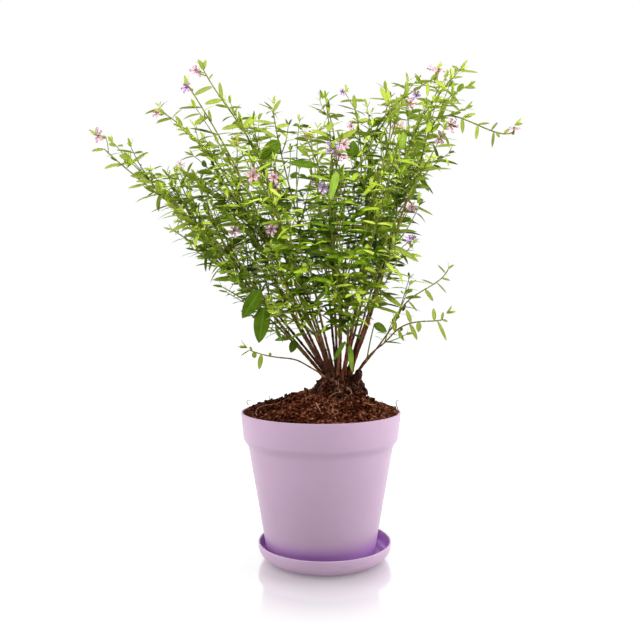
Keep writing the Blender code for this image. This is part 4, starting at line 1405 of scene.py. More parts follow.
# %% Pairs of leaves
LEAF_SPREAD = math.radians(68)
LANCE = (0.62, 0.68)
LEVEL = 0.22
LIFT = 0.12
HANGING_CHANCE = 0.1
HANGING_DROP = 0.75
UPWARD_TILT = 0.8
OUTWARD_TILT = 0.65
FORWARD_TILT = 0.2
TILT_SPREAD = 0.26


def leaf_pairs(nodes, own, length, width, tint, rng):
    """Leaves at nodes, on either side of the shoot, as a dict of arrays with one entry for each leaf.

    A leaf leaves the shoot at the leaf angle and then spreads level, so its height is scaled down; it is
    lifted at its foot and droops at its tip. Its face looks up and outwards, and a little along the shoot.
    A few leaves hang.
    """
    made = []
    count = len(nodes["spot"])
    heading = nodes["heading"]
    outwards = unit((nodes["spot"] - STEM_ROOT) * FLAT + 1e-9)
    for side in (1, -1):
        radial = side * sideways(heading, nodes["turn"] + rng.normal(0, 0.15, count))
        spread = LEAF_SPREAD + rng.normal(0.0, 0.2, count)[:, None]
        direction = heading * np.cos(spread) + radial * np.sin(spread) + rng.normal(0, 0.1, (count, 3))
        direction = direction * np.array([1, 1, LEVEL]) + LIFT * UP
        hanging = rng.uniform(0, 1, (count, 1)) < HANGING_CHANCE
        direction = np.where(hanging, direction - HANGING_DROP * UP, direction)
        normal = UPWARD_TILT * UP + OUTWARD_TILT * outwards + FORWARD_TILT * heading
        normal = normal + rng.normal(0, TILT_SPREAD, (count, 3))
        pair_half = dict(
            root=nodes["spot"],
            direction=unit(direction),
            normal=normal,
            length=length * rng.uniform(0.75, 1.15, count),
            width=width * rng.uniform(0.8, 1.15, count),
            bend=rng.uniform(0.08, 0.36, count),
            tint=tint + rng.normal(0, 0.07, count),
            own=own,
        )
        made.append(pair_half)
    return joined(*made)


# %% [markdown]
# ## Where the light falls
#
# The leaves at the top and outside are young and yellow green; those inside and low down are old and
# dark. The tones also paint the light: leaves at the top and outside are painted lighter where light falls,
# those inside and low down painted darker where shade falls. Colour follows that rule spray by spray:
# each shoot gets a tone from its height, its distance from the middle and chance, and its leaves vary a
# little about it. Young shoots low down on the plant's right are painted paler than the old leaves round
# them, partly for their youth and partly as painted light. Five tones, each a plain colour, make five
# pieces.

# %% Tones
TONE_LOW_Z = 0.20
TONE_RISE = 0.22
TONE_REACH = 0.12
TONE_ASIDE = 0.1
# Painted light as well as youth: low shoots below this height are made paler.
YOUNG_AND_LIT_BELOW = 0.28
YOUNG_AND_LIT_FADE = 0.07
LEAST_TONE = 0.13
TONE_SHARES = {"height": 0.34, "away": 0.17, "farther": 0.35, "aside": 0.05, "young_and_lit": 0.2}


# Painted light and shade with age: lighter at the top and outside, darker inside and low down.
def age_and_light_tone(spot):
    """0 for the darkest, inside; 1 for the brightest, at the top and outside: painted shade and painted light
    as well as age.
    """
    height = np.clip((spot[:, 2] - TONE_LOW_Z) / TONE_RISE, 0, 1)
    away = spans((spot - STEM_ROOT) * np.array([1, 0.75, 0])) / TONE_REACH
    farther = TONE_SHARES["farther"] * height * np.clip(away - 1, 0, 0.5)
    aside = np.clip(np.abs(spot[:, 0]) / TONE_ASIDE, 0, 1)
    # Painted light as well as youth: low shoots in the middle and on the right are made paler.
    young_and_lit = np.clip((YOUNG_AND_LIT_BELOW - spot[:, 2]) / YOUNG_AND_LIT_FADE, 0, 1)
    young_and_lit = young_and_lit * np.clip(1.5 + spot[:, 0] / 0.05, 0, 1)
    total = LEAST_TONE + TONE_SHARES["height"] * height + TONE_SHARES["away"] * np.clip(away, 0, 1)
    return total + farther + TONE_SHARES["aside"] * aside + TONE_SHARES["young_and_lit"] * young_and_lit


rng = np.random.default_rng(4)
stem_tone = age_and_light_tone(stem_nodes["spot"]) + rng.normal(0, 0.06, len(stem_nodes["spot"]))
branch_tone = age_and_light_tone(0.5 * (branches["middle"] + branches["end"]))
branch_tone = branch_tone + rng.normal(0, 0.11, len(branches["length"]))
sprig_tone = age_and_light_tone(sprigs["end"]) + rng.normal(0.02, 0.11, len(sprigs["length"]))

# %% Leaves by the rule
# The length and width of a full leaf.
STEM_LEAF = (24 * MM, 5.7 * MM)
BRANCH_LEAF = (24.0 * MM, 5.8 * MM)
FINE_LEAF = (15.5 * MM, 4.2 * MM)
# A twig of this length or more carries full leaves.
FULL_TWIG = 42 * MM


def dressed(nodes, own, leaf, vigour, tint, rng):
    """Pairs of leaves at nodes, from a full leaf's length and width, made smaller by the vigour."""
    return leaf_pairs(nodes, own, leaf[0] * vigour, leaf[1] * vigour, tint, rng)


vigour = VIGOUR[stem_nodes["shoot"]] * (1 - 0.45 * stem_nodes["reach"])
stem_leaves = dressed(stem_nodes, stem_nodes["shoot"], STEM_LEAF, vigour, stem_tone, rng)
on_branch = branch_nodes["shoot"]
vigour = (1 - 0.38 * branch_nodes["reach"]) * np.clip(branches["length"] / FULL_TWIG, 0.5, 1)[on_branch]
tint = branch_tone[on_branch] + 0.08 * branch_nodes["reach"]
branch_leaves = dressed(branch_nodes, branches["own"][on_branch], BRANCH_LEAF, vigour, tint, rng)
on_sprig = fine_nodes["shoot"]
vigour = 1 - 0.3 * fine_nodes["reach"]
fine_leaves = dressed(fine_nodes, sprigs["own"][on_sprig], FINE_LEAF, vigour, sprig_tone[on_sprig], rng)
print(len(stem_leaves["root"]), len(branch_leaves["root"]), len(fine_leaves["root"]), "leaves")

# %% Leaves at the tips of shoots
STEM_TIP_LEAF = 9 * MM
BRANCH_TIP_LEAF = 8.5 * MM
SPRIG_TIP_LEAF = 6 * MM
LEAF_BOX_GAP = 0.5 * MM


def tip_leaves(end, heading, own, length, tint, rng):
    """A tuft of three small leaves that close a shoot."""
    count = len(end)
    made = []
    for turn in (0.0, 2.1, 4.2):
        radial = sideways(heading, rng.uniform(0, 1, count) + turn)
        direction = unit(heading + 0.45 * radial)
        third = dict(
            root=end,
            direction=direction,
            normal=-radial + 0.4 * heading + 0.2 * UP,
            length=length * rng.uniform(0.7, 1.1, count),
            width=0.3 * length * rng.uniform(0.8, 1.1, count),
            bend=rng.uniform(0.0, 0.3, count),
            tint=tint + rng.normal(0.06, 0.06, count),
            own=own,
        )
        made.append(third)
    return joined(*made)


rng = np.random.default_rng(6)
stem_heading = unit(on_stems(EVERY, np.ones(len(STEMS))) - on_stems(EVERY, np.full(len(STEMS), 0.97)))
stem_tips = tip_leaves(TIPS, stem_heading, EVERY, STEM_TIP_LEAF, age_and_light_tone(TIPS), rng)
branch_heading = unit(branches["end"] - branches["middle"])
branch_tips = tip_leaves(branches["end"], branch_heading, branches["own"], BRANCH_TIP_LEAF, branch_tone, rng)
sprig_heading = unit(sprigs["end"] - sprigs["middle"])
sprig_tips = tip_leaves(sprigs["end"], sprig_heading, sprigs["own"], SPRIG_TIP_LEAF, sprig_tone, rng)
leaves = joined(stem_leaves, branch_leaves, fine_leaves, stem_tips, branch_tips, sprig_tips)
leaf_end = leaves["root"] + leaves["direction"] * leaves["length"][:, None]
fits = in_box(leaf_end, LEAF_BOX_GAP) & (gap_to_stems(leaf_end, leaves["own"])[1] > LIMB_GAP)
leaves = picked(leaves, fits)
print(len(leaves["root"]), "leaves in all")

# %% Leaf finishes
# Each row: the tone's name, the tint up to which it goes, its dark and its light colour. The tones are
# painted shade and light as well as age, from shade inside to lime at the top and outside.
AGE_AND_LIGHT_TONES = (
    ("shade", 0.26, (0.020, 0.043, 0.001), (0.038, 0.073, 0.002)),
    ("deep", 0.42, (0.072, 0.139, 0.003), (0.122, 0.208, 0.006)),
    ("green", 0.6, (0.202, 0.283, 0.017), (0.278, 0.372, 0.027)),
    ("fresh", 0.78, (0.30, 0.382, 0.047), (0.39, 0.475, 0.064)),
    ("lime", math.inf, (0.38, 0.45, 0.076), (0.46, 0.53, 0.11)),
)
UNDERSIDE = (0.22, 0.29, 0.06)
UNDERSIDE_SHARE = 0.22
LEAF_CLOUDS = 160.0
VEIN_SCALE = 1400.0
VEIN_RELIEF = 0.15 * MM
RIB_PLACE = 0.25
RIB_ENDS = (0.01, 0.05, 0.4, 0.0)


def make_leaf_finish(name, dark, light):
    """A leaf: a plain colour with faint clouds, a paler rib on top, and a duller underside.

    The place round each blade runs from 0 to 0.5 on its upper face, with the rib at 0.25, and on to 1 below.
    """
    made, tree, shader = new_finish(name, 0.55, Specular_IOR_Level=0.05)
    clouds = grain_of(tree, LEAF_CLOUDS)
    ramp = ramp_of(tree, clouds.outputs["Fac"], [(0.3, dark), (0.7, light)])
    around = part_of(tree, place_on_outline(tree), "X")
    off_rib = reckoned(tree, "ABSOLUTE", reckoned(tree, "SUBTRACT", around, RIB_PLACE))
    pale = tuple(min(1.0, 1.4 * value + 0.02) for value in light)
    upper = blended(tree, ranged(tree, off_rib, RIB_ENDS), ramp.outputs["Color"], pale)
    dull = tuple(
        (1 - UNDERSIDE_SHARE) * value + UNDERSIDE_SHARE * other * sum(light) / sum(UNDERSIDE)
        for value, other in zip(light, UNDERSIDE)
    )
    below = reckoned(tree, "GREATER_THAN", around, 0.5)
    paint(tree, shader, blended(tree, below, upper, dull))
    veins = grain_of(tree, VEIN_SCALE, detail=2.0)
    bump_from(tree, shader, veins.outputs["Fac"], VEIN_RELIEF, 0.4)
    return made


# %% Leaf pieces
def make_leaves(kind, chosen, tone_name, dark, light, **shape):
    """One piece of the chosen leaves; its finish is named after the kind of leaf and the tone."""
    finish = make_leaf_finish(kind + "leaf_" + tone_name, dark, light)
    name = kind + "leaves_" + tone_name
    make_piece(name, blades(chosen, **shape), finish, FOLIAGE_NODES, sharp=50.0)


LEAF_SHAPE = dict(outline=LANCE, fold=0.16, thick=0.3 * MM, rings=7, half=1)
low = -math.inf
for name, high, dark, light in AGE_AND_LIGHT_TONES:
    chosen = picked(leaves, (leaves["tint"] > low) & (leaves["tint"] <= high))
    make_leaves("", chosen, name, dark, light, **LEAF_SHAPE)
    low = high

# %% [markdown]
# ## Leaves on the outline
#
# The longest shoots stand free against the light, and each of their leaves shows. Those are listed one by
# one, each with the stem that it grows from, the share of that stem, the place of its tip in millimetres, its
# width and its tone. The blade starts on the stem itself.

# %% Leaves listed one by one
HAND_LEAVES = (
    ("far_left", 1.00, (-192, -23, 352), 3.3, "fresh"),
    ("far_left", 0.94, (-181, -25, 337), 3.9, "fresh"),
    ("far_left", 0.85, (-164, -15, 322), 3.8, "fresh"),
    ("far_left", 0.82, (-150, -12, 314), 1.7, "shade"),
    ("far_left", 0.76, (-145, -12, 302), 1.9, "shade"),
    ("far_left", 0.73, (-124, -26, 298), 4.3, "deep"),
    ("far_left", 0.68, (-128, -21, 284), 3.6, "green"),
    ("far_left", 0.95, (-178, -17, 348), 2.5, "green"),
    ("far_left", 0.92, (-155, -10, 350), 2.5, "lime"),
    ("far_left", 0.93, (-162, -16, 352), 2.5, "lime"),
    ("left_arch", 0.96, (-152, 48, 392), 1.9, "deep"),
    ("left_arch", 0.91, (-133, 39, 395), 3.9, "green"),
    ("left_arch", 0.89, (-131, 37, 382), 3.0, "fresh"),
    ("left_flower", 0.84, (-110, -23, 371), 2.5, "shade"),
    ("left_arch", 0.78, (-114, 42, 367), 3.1, "green"),
    ("left_top", 0.99, (-106, 7, 436), 4.0, "green"),
    ("left_top", 0.99, (-101, 12, 438), 3.5, "fresh"),
    ("left_top", 0.97, (-112, 15, 428), 1.9, "deep"),
    ("left_top", 0.96, (-94, 6, 424), 2.8, "green"),
    ("left_top", 0.89, (-89, 11, 418), 3.7, "green"),
    ("left_top", 0.89, (-101, 3, 397), 6.2, "green"),
    ("left_flower", 0.97, (-88, -40, 401), 5.3, "green"),
    ("left_flower", 0.93, (-118, -29, 386), 2.7, "shade"),
    ("left_flower", 0.90, (-103, -39, 370), 5.6, "green"),
    ("left_flower", 0.88, (-93, -29, 385), 2.5, "deep"),
    ("left_top", 0.80, (-86, 1, 375), 5.6, "green"),
    ("left_top", 0.79, (-72, 7, 392), 3.2, "green"),
    ("left_top", 0.79, (-57, 11, 388), 7.0, "fresh"),
    ("left_top", 0.71, (-67, 8, 357), 3.5, "shade"),
    ("mid_left", 0.95, (-60, 19, 386), 3.6, "green"),
    ("mid_left", 0.90, (-60, 20, 381), 4.0, "green"),
    ("mid_left", 0.99, (-36, 28, 407), 4.5, "green"),
    ("mid_left", 1.00, (-57, 30, 404), 1.6, "deep"),
    ("mid_left", 1.00, (-51, 22, 404), 1.6, "shade"),
    ("mid_left", 0.94, (-28, 22, 383), 4.5, "fresh"),
    ("mid", 0.99, (5, -8, 400), 3.6, "green"),
    ("mid", 0.98, (-11, -2, 395), 1.7, "deep"),
    ("mid", 0.98, (-2, -13, 387), 3.4, "deep"),
    ("mid", 0.99, (17, -5, 385), 1.9, "shade"),
    ("mid", 0.96, (6, -14, 370), 6.4, "green"),
    ("mid", 0.90, (-8, -12, 372), 4.0, "fresh"),
    ("mid", 0.89, (31, -13, 372), 4.7, "fresh"),
    ("mid_right", 0.96, (30, 34, 413), 4.2, "green"),
    ("mid_right", 0.96, (15, 39, 405), 1.8, "shade"),
    ("mid_right", 0.96, (41, 38, 395), 1.8, "shade"),
    ("mid_right", 0.92, (45, 26, 389), 4.6, "fresh"),
    ("right_mid", 0.98, (49, -25, 405), 4.7, "lime"),
    ("right_mid", 0.98, (55, -21, 406), 4.2, "lime"),
    ("right_mid", 1.00, (40, -17, 397), 2.0, "deep"),
    ("right_flower", 0.95, (82, 7, 425), 1.9, "deep"),
    ("right_flower", 0.89, (74, 2, 417), 3.9, "fresh"),
    ("right_flower", 0.97, (92, 0, 403), 3.5, "lime"),
    ("right_flower", 0.99, (108, 0, 410), 4.4, "lime"),
    ("right_top", 0.96, (119, 45, 443), 2.4, "green"),
    ("right_top", 0.98, (125, 41, 442), 3.2, "green"),
    ("right_top", 0.99, (133, 44, 443), 2.2, "green"),
    ("far_right", 0.73, (117, -23, 384), 4.2, "green"),
    ("far_right", 0.79, (118, -26, 366), 3.4, "green"),
    ("far_right", 0.79, (130, -19, 384), 4.1, "fresh"),
    ("far_right", 0.85, (142, -19, 376), 2.4, "deep"),
    ("far_right", 0.85, (129, -27, 361), 3.2, "fresh"),
    ("far_right", 0.90, (148, -22, 376), 2.0, "deep"),
    ("far_right", 0.91, (142, -29, 354), 2.4, "deep"),
    ("far_right", 0.92, (148, -29, 362), 2.5, "green"),
    ("far_right", 0.95, (157, -26, 370), 2.5, "fresh"),
    ("right_low", 0.97, (100, 46, 327), 5.1, "green"),
    ("right_side", 0.84, (51, -40, 291), 3.3, "fresh"),
    ("right_side", 0.84, (73, -28, 289), 3.3, "green"),
    ("right_side", 0.99, (92, -39, 297), 2.3, "deep"),
    ("right_side", 0.71, (81, -32, 259), 5.6, "green"),
    ("right_side", 0.62, (72, -19, 257), 2.7, "shade"),
    ("right_side", 0.54, (80, -18, 245), 1.9, "green"),
    ("right_side", 0.51, (66, -29, 242), 2.0, "green"),
    ("right_side", 0.50, (46, -30, 237), 2.0, "fresh"),
    ("right_side", 0.41, (68, -32, 221), 4.7, "green"),
    ("right_side", 0.38, (57, -21, 232), 2.7, "shade"),
    ("right_side", 0.32, (58, -22, 224), 3.4, "deep"),
    ("right_side", 0.32, (65, -29, 216), 2.9, "green"),
    ("low_right", 0.81, (98, 0, 226), 3.7, "green"),
    ("low_right", 0.87, (89, 8, 245), 1.7, "deep"),
    ("low_right", 0.89, (111, 8, 233), 1.8, "deep"),
    ("low_right", 0.93, (113, 1, 244), 2.1, "green"),
    ("low_right", 0.97, (103, 8, 258), 1.7, "deep"),
    ("low_right", 0.67, (84, -1, 217), 2.1, "deep"),
    ("low_right", 0.64, (72, 5, 217), 3.0, "shade"),
    ("low_right_shoot", 0.57, (71, -16, 192), 2.9, "green"),
    ("low_right_shoot", 0.61, (69, -10, 200), 2.9, "deep"),
    ("low_right_shoot", 0.69, (82, -18, 193), 4.1, "green"),
    ("low_right_shoot", 0.70, (73, -13, 219), 4.3, "green"),
    ("low_right_shoot", 0.77, (83, -19, 200), 4.6, "green"),
    ("low_right_shoot", 0.90, (96, -16, 220), 3.6, "fresh"),
    ("low_right_shoot", 0.93, (106, -24, 193), 2.9, "fresh"),
    ("low_right_shoot", 0.98, (104, -19, 217), 2.4, "green"),
    ("low_right_shoot", 0.99, (107, -24, 209), 2.2, "green"),
    ("low_right_shoot", 0.53, (63, -9, 211), 4.3, "lime"),
    ("low_left_shoot", 0.88, (-52, -27, 169), 4.2, "green"),
    ("low_left_shoot", 0.96, (-56, -22, 178), 4.2, "green"),
    ("low_left_shoot", 1.00, (-68, -21, 180), 1.5, "deep"),
    ("low_left_shoot", 0.78, (-43, -25, 183), 2.5, "green"),
    ("low_left_shoot", 0.98, (-60, -22, 188), 2.2, "green"),
)
# These tones are partly painted light and shade: shade for leaves that lie in shade, lime for those in full
# light.
OUTLINE_TONES = {
    "shade": ((0.07, 0.085, 0.016), (0.105, 0.12, 0.03)),
    "deep": ((0.115, 0.155, 0.022), (0.16, 0.20, 0.035)),
    "green": ((0.16, 0.205, 0.028), (0.22, 0.27, 0.04)),
    "fresh": ((0.20, 0.25, 0.032), (0.27, 0.325, 0.045)),
    "lime": ((0.24, 0.29, 0.035), (0.32, 0.37, 0.05)),
}
OUTLINE_FACING = np.array([0.0, -1.0, 0.45])
OUTLINE_SHAPE = dict(outline=LANCE, fold=0.2, thick=0.35 * MM, rings=11, half=2)


def leaves_by_tone(kind, made, tones, colours, shape):
    """One piece for each tone: those of the leaves that have it, in its dark and light colours."""
    for name, (dark, light) in colours.items():
        make_leaves(kind, picked(made, tones == name), name, dark, light, **shape)


rng = np.random.default_rng(15)
hand_root = leaving(HAND_LEAVES)
hand_tip = kept_in_box(column(HAND_LEAVES, 2) * MM, 1 * MM)
hand_span = spans(hand_tip - hand_root)
hand_bend = rng.uniform(0.05, 0.16, len(HAND_LEAVES))
steepness = np.abs((hand_tip - hand_root)[:, 2:] / hand_span[:, None])
hand_normal = OUTLINE_FACING + UP * (1 - steepness) * 0.2 + rng.normal(0, 0.18, (len(HAND_LEAVES), 3))
hand_leaves = dict(
    root=hand_root,
    direction=unit(hand_tip - hand_root + unit(hand_normal) * (hand_bend * hand_span)[:, None]),
    normal=hand_normal,
    length=hand_span,
    width=column(HAND_LEAVES, 3) * MM,
    bend=hand_bend,
)
hand_tones = column(HAND_LEAVES, 4)
leaves_by_tone("outline_", hand_leaves, hand_tones, OUTLINE_TONES, OUTLINE_SHAPE)

# %% [markdown]
# ## Broad leaves
#
# Among the narrow leaves a few are broad and oval, mostly old ones low down and some young ones that face
# the light. Each is listed: the stem that it grows from, the share of that stem, the foot of its blade
# and its tip, its width and its tone. A short stalk joins it to the stem. These blades have more points
# across them, so that they can be cupped.

# %% Broad leaves listed one by one
BROAD = (
    ("low_left", 0.58, (-48, -16, 221), (-53, -20, 191), 14.0, "deep"),
    ("low_left", 0.60, (-51, -21, 236), (-66, -25, 212), 13.0, "deep"),
    ("left_low", 0.62, (-84, 8, 270), (-104, 4, 265), 10.0, "green"),
    ("left_low", 0.60, (-78, 9, 260), (-89, 5, 250), 8.0, "fresh"),
    ("left_low", 0.52, (-67, 11, 283), (-83, 7, 275), 9.0, "deep"),
    ("mid", 0.74, (-5, -17, 340), (-28, -21, 344), 7.5, "deep"),
    ("mid_left", 0.84, (-37, 14, 368), (-53, 10, 348), 14.0, "deep"),
    ("front_mid", 0.94, (23, -95, 335), (24, -99, 346), 9.5, "deep"),
    ("front_mid", 0.86, (12, -95, 324), (7, -99, 303), 6.0, "fresh"),
    ("right_mid", 0.74, (67, -29, 353), (68, -33, 366), 6.0, "fresh"),
    ("right_low", 0.80, (83, 30, 355), (75, 26, 366), 6.5, "lime"),
    ("right_low", 0.88, (94, 35, 349), (86, 31, 362), 6.5, "lime"),
    ("front_mid", 0.46, (10, -59, 280), (-1, -63, 280), 8.0, "shade"),
    ("low_left", 0.26, (-22, -7, 192), (-26, -11, 182), 7.5, "deep"),
    ("low_right_shoot", 0.2, (46, -14, 207), (56, -18, 200), 7.0, "green"),
    ("front_low", 0.2, (24, -34, 190), (26, -38, 168), 4.8, "green"),
    ("front_low", 0.2, (20, -34, 193), (10, -38, 177), 3.8, "deep"),
)
STALK_BOW = 0.12
STALK_FOOT_R = 0.65 * MM
STALK_TIP_R = 0.5 * MM
broad_from = leaving(BROAD)
broad_root = column(BROAD, 2) * MM
broad_tip = column(BROAD, 3) * MM
broad_middle = 0.5 * (broad_from + broad_root) + STALK_BOW * spans(broad_root - broad_from)[:, None] * UP
broad_stalks = dict(start=broad_from, middle=broad_middle, end=broad_root)
stalk_r = np.full(len(BROAD), STALK_FOOT_R)
stalk_points = twig_points(broad_stalks, stalk_r, STALK_TIP_R, rings=8, corners=6)
make_piece("broad_leaf_stalks", stalk_points, green_bark)

# %% Broad blades
OVATE = (0.5, 0.75)
BROAD_SHAPE = dict(outline=OVATE, fold=0.16, thick=0.35 * MM, rings=11, half=3)
BROAD_FACING = np.array([0.1, -1.0, 0.35])
# These tones are partly painted light and shade: shade for leaves that lie in shade, lime for those in full
# light.
BROAD_TONES = {
    "shade": ((0.032, 0.060, 0.003), (0.050, 0.085, 0.005)),
    "deep": ((0.042, 0.085, 0.003), (0.070, 0.125, 0.006)),
    "green": ((0.095, 0.165, 0.014), (0.145, 0.23, 0.024)),
    "fresh": ((0.155, 0.25, 0.025), (0.215, 0.33, 0.04)),
    "lime": ((0.27, 0.35, 0.045), (0.35, 0.43, 0.07)),
}
rng = np.random.default_rng(9)
broad = dict(
    root=broad_root,
    direction=unit(broad_tip - broad_root),
    normal=BROAD_FACING + rng.normal(0, 0.25, (len(BROAD), 3)),
    length=spans(broad_tip - broad_root),
    width=column(BROAD, 4) * MM,
    bend=np.full(len(BROAD), 0.08),
)
leaves_by_tone("broad_", broad, column(BROAD, 5), BROAD_TONES, BROAD_SHAPE)

# %% [markdown]
# ## Blossoms
#
# A blossom of this plant has a slender calyx, a ribbed tube about 7 mm long, with six crinkled petals
# round its mouth and a few dark stamens. Some face the viewer and some are seen from the side. The
# blossoms that show are listed like the shoots: the stem, the share of it where the stalk leaves, the
# place of the mouth, the colour, the size and the way it faces. The stems behind carry some too, for the
# plant is seen from all sides.

# %% Blossoms listed one by one
BLOSSOMS = (
    ("far_left", 0.985, (-187, -20, 365), "pink", 1.15, "left"),
    ("left_arch", 0.985, (-151, 46, 399), "pink", 0.85, "left"),
    ("left_flower", 0.985, (-109, -38, 401), "mauve", 1.0, "left"),
    ("left_top", 0.98, (-109, 10, 428), "pink", 0.9, "left"),
    ("left_arch", 0.62, (-126, 24, 348), "pink", 0.7, "up"),
    ("front_left", 0.90, (-51, -88, 322), "pink", 0.95, "front"),
    ("front_left", 0.80, (-36, -78, 322), "pink", 0.8, "front"),
    ("front_left", 0.76, (-35, -72, 315), "pink", 0.8, "left"),
    ("left_arch", 0.55, (-83, 19, 321), "pink", 0.9, "front"),
    ("left_flower", 0.50, (-72, -29, 285), "pink", 0.9, "down"),
    ("front_left", 0.62, (-39, -63, 284), "pink", 0.85, "down"),
    ("front_mid", 0.97, (8, -104, 339), "mauve", 1.0, "left"),
    ("front_mid", 0.92, (14, -100, 336), "pink", 1.0, "front"),
    ("front_mid", 0.94, (17, -100, 343), "pink", 0.8, "right"),
    ("front_mid", 0.80, (2, -83, 313), "mauve", 0.8, "front"),
    ("mid_right", 0.96, (20, 36, 416), "mauve", 0.6, "left"),
    ("mid_right", 0.84, (27, 31, 384), "pink", 0.7, "front"),
    ("right_flower", 0.985, (101, 4, 425), "pink", 1.5, "up"),
    ("right_flower", 0.86, (83, 4, 405), "mauve", 0.8, "front"),
    ("right_flower", 0.82, (78, 5, 398), "pink", 0.9, "front"),
    ("far_right", 0.66, (109, -19, 374), "pink", 1.15, "right"),
    ("far_right", 0.60, (101, -17, 364), "pink", 1.1, "front"),
    ("far_right", 0.985, (160, -30, 369), "pink", 0.8, "up"),
    ("right_side", 0.97, (74, -46, 303), "pink", 0.8, "down"),
    ("right_side", 0.80, (74, -33, 278), "mauve", 0.85, "up"),
    ("right_low", 0.90, (85, 49, 345), "pink", 0.8, "right"),
    ("back_left", 0.98, (-84, 99, 384), "pink", 1.0, "back"),
    ("back_left", 0.80, (-62, 92, 352), "mauve", 0.9, "back"),
    ("back_right", 0.98, (77, 99, 397), "pink", 1.1, "back"),
    ("back_right", 0.82, (70, 90, 362), "pink", 0.9, "back"),
    ("back_mid", 0.97, (-12, 110, 390), "pink", 1.0, "back"),
    ("back_mid", 0.76, (-6, 96, 345), "mauve", 0.9, "back"),
    ("back_low_left", 0.9, (-80, 86, 276), "pink", 0.9, "back"),
    ("back_low_right", 0.92, (74, 88, 290), "pink", 0.9, "back"),
)
FACINGS = {
    "front": (0.0, -0.95, 0.25),
    "left": (-0.6, -0.8, 0.1),
    "right": (0.6, -0.75, 0.2),
    "up": (0.0, -0.55, 0.8),
    "down": (-0.2, -0.75, -0.55),
    "back": (0.0, 0.85, 0.4),
}
CALYX_LENGTH = 6.5 * MM
BLOSSOM_STALK_R = (0.4 * MM, 0.35 * MM)
blossom_from = leaving(BLOSSOMS)
blossom_at = column(BLOSSOMS, 2) * MM
blossom_kind = column(BLOSSOMS, 3)
blossom_size = column(BLOSSOMS, 4)
rng = np.random.default_rng(10)
blossom_facing = np.array([FACINGS[row[5]] for row in BLOSSOMS])
blossom_facing = unit(blossom_facing + rng.normal(0, 0.12, blossom_at.shape))
calyx_span = (CALYX_LENGTH * blossom_size)[:, None]
calyx_foot = kept_in_box(blossom_at - blossom_facing * calyx_span, 2 * MM)
stalk_middle = 0.5 * (blossom_from + calyx_foot) - 0.15 * calyx_span * blossom_facing
stalks = dict(start=blossom_from, middle=stalk_middle, end=calyx_foot)
stalk_r = np.full(len(BLOSSOMS), BLOSSOM_STALK_R[0])
stalk_points = twig_points(stalks, stalk_r, BLOSSOM_STALK_R[1], rings=8, corners=6)
make_piece("blossom_stalks", stalk_points, green_bark)

# %% Shapes of calyces and petals
CALYX_SHARES = (0, 0.12, 0.35, 0.7, 0.9, 1.0)
CALYX_WIDTHS = (0.45, 0.95, 1.0, 0.72, 0.85, 1.05)
PETALS_EACH = 6
PETAL_SIZE = (5.8 * MM, 2.9 * MM)
PETAL_SHAPE = dict(outline=(1.0, 0.34), fold=0.3, thick=0.22 * MM, rings=10, half=2, ripple=0.22)


def calyx_points(foot, mouth, radius, rings=9, corners=12):
    """Ribbed tubes: a narrow foot, a swollen base with a small spur, a waist and a flared mouth."""
    share = np.linspace(0, 1, rings)
    paths = foot[:, None] + (mouth - foot)[:, None] * share[None, :, None]
    profile = np.interp(share, CALYX_SHARES, CALYX_WIDTHS)
    ribs = 1 + 0.1 * np.cos(PETALS_EACH * math.tau * np.arange(corners) / corners)
    return tubes(paths, radius[:, None, None] * profile[None, :, None] * ribs[None, None], corners)


def square_to(facing):
    """Two directions square to each facing and to each other."""
    least = np.eye(3)[np.abs(facing).argmin(axis=-1)]
    across = unit(np.cross(facing, least))
    return across, np.cross(facing, across)


def petal_blades(mouth, facing, size, rng):
    """Six crinkled petals round each mouth: broad towards the tip, narrow at the foot."""
    across, other = square_to(facing)
    spin = rng.uniform(0, math.tau, len(mouth))
    made = []
    for k in range(PETALS_EACH):
        angle = (spin + math.tau * k / PETALS_EACH + rng.normal(0, 0.08, len(mouth)))[:, None]
        radial = across * np.cos(angle) + other * np.sin(angle)
        petal = dict(
            root=mouth + radial * 0.5 * MM * size[:, None],
            direction=unit(radial + rng.uniform(0.1, 0.7, (len(mouth), 1)) * facing),
            normal=facing,
            length=PETAL_SIZE[0] * size * rng.uniform(0.75, 1.15, len(mouth)),
            width=PETAL_SIZE[1] * size,
            bend=rng.uniform(-0.2, 0.5, len(mouth)),
        )
        made.append(blades(petal, **PETAL_SHAPE))
    return np.concatenate(made)


def make_petal_finish(name, foot, tip):
    """Thin petals, deeper in colour at the foot than at the tip."""
    made, tree, shader = new_finish(name, 0.5, Specular_IOR_Level=0.3)
    along = part_of(tree, place_on_outline(tree), "Y")
    ramp = ramp_of(tree, along, [(0.1, foot), (0.65, tip)])
    paint(tree, shader, ramp.outputs["Color"])
    crinkle = grain_of(tree, 900.0)
    bump_from(tree, shader, crinkle.outputs["Fac"], 0.3 * MM, 0.5)
    return made


# %% Calyces and petals
CALYX_R = 1.15 * MM
PETAL_COLOURS = {
    "pink": ((0.37, 0.13, 0.19), (0.60, 0.38, 0.46)),
    "mauve": ((0.22, 0.09, 0.29), (0.41, 0.26, 0.47)),
}
rng = np.random.default_rng(12)
calyx_finish = make_bark("calyx_skin", (0.16, 0.13, 0.03), (0.3, 0.3, 0.06), (0.42, 0.22, 0.16))
calyxes = calyx_points(calyx_foot, blossom_at, CALYX_R * blossom_size)
make_piece("calyces", calyxes, calyx_finish, sharp=60.0)
for name, (foot_colour, tip_colour) in PETAL_COLOURS.items():
    mask = blossom_kind == name
    petals = petal_blades(blossom_at[mask], blossom_facing[mask], blossom_size[mask], rng)
    petal_finish = make_petal_finish("petal_" + name, foot_colour, tip_colour)
    make_piece("petals_" + name, kept_in_box(petals, 0.0), petal_finish, sharp=60.0)


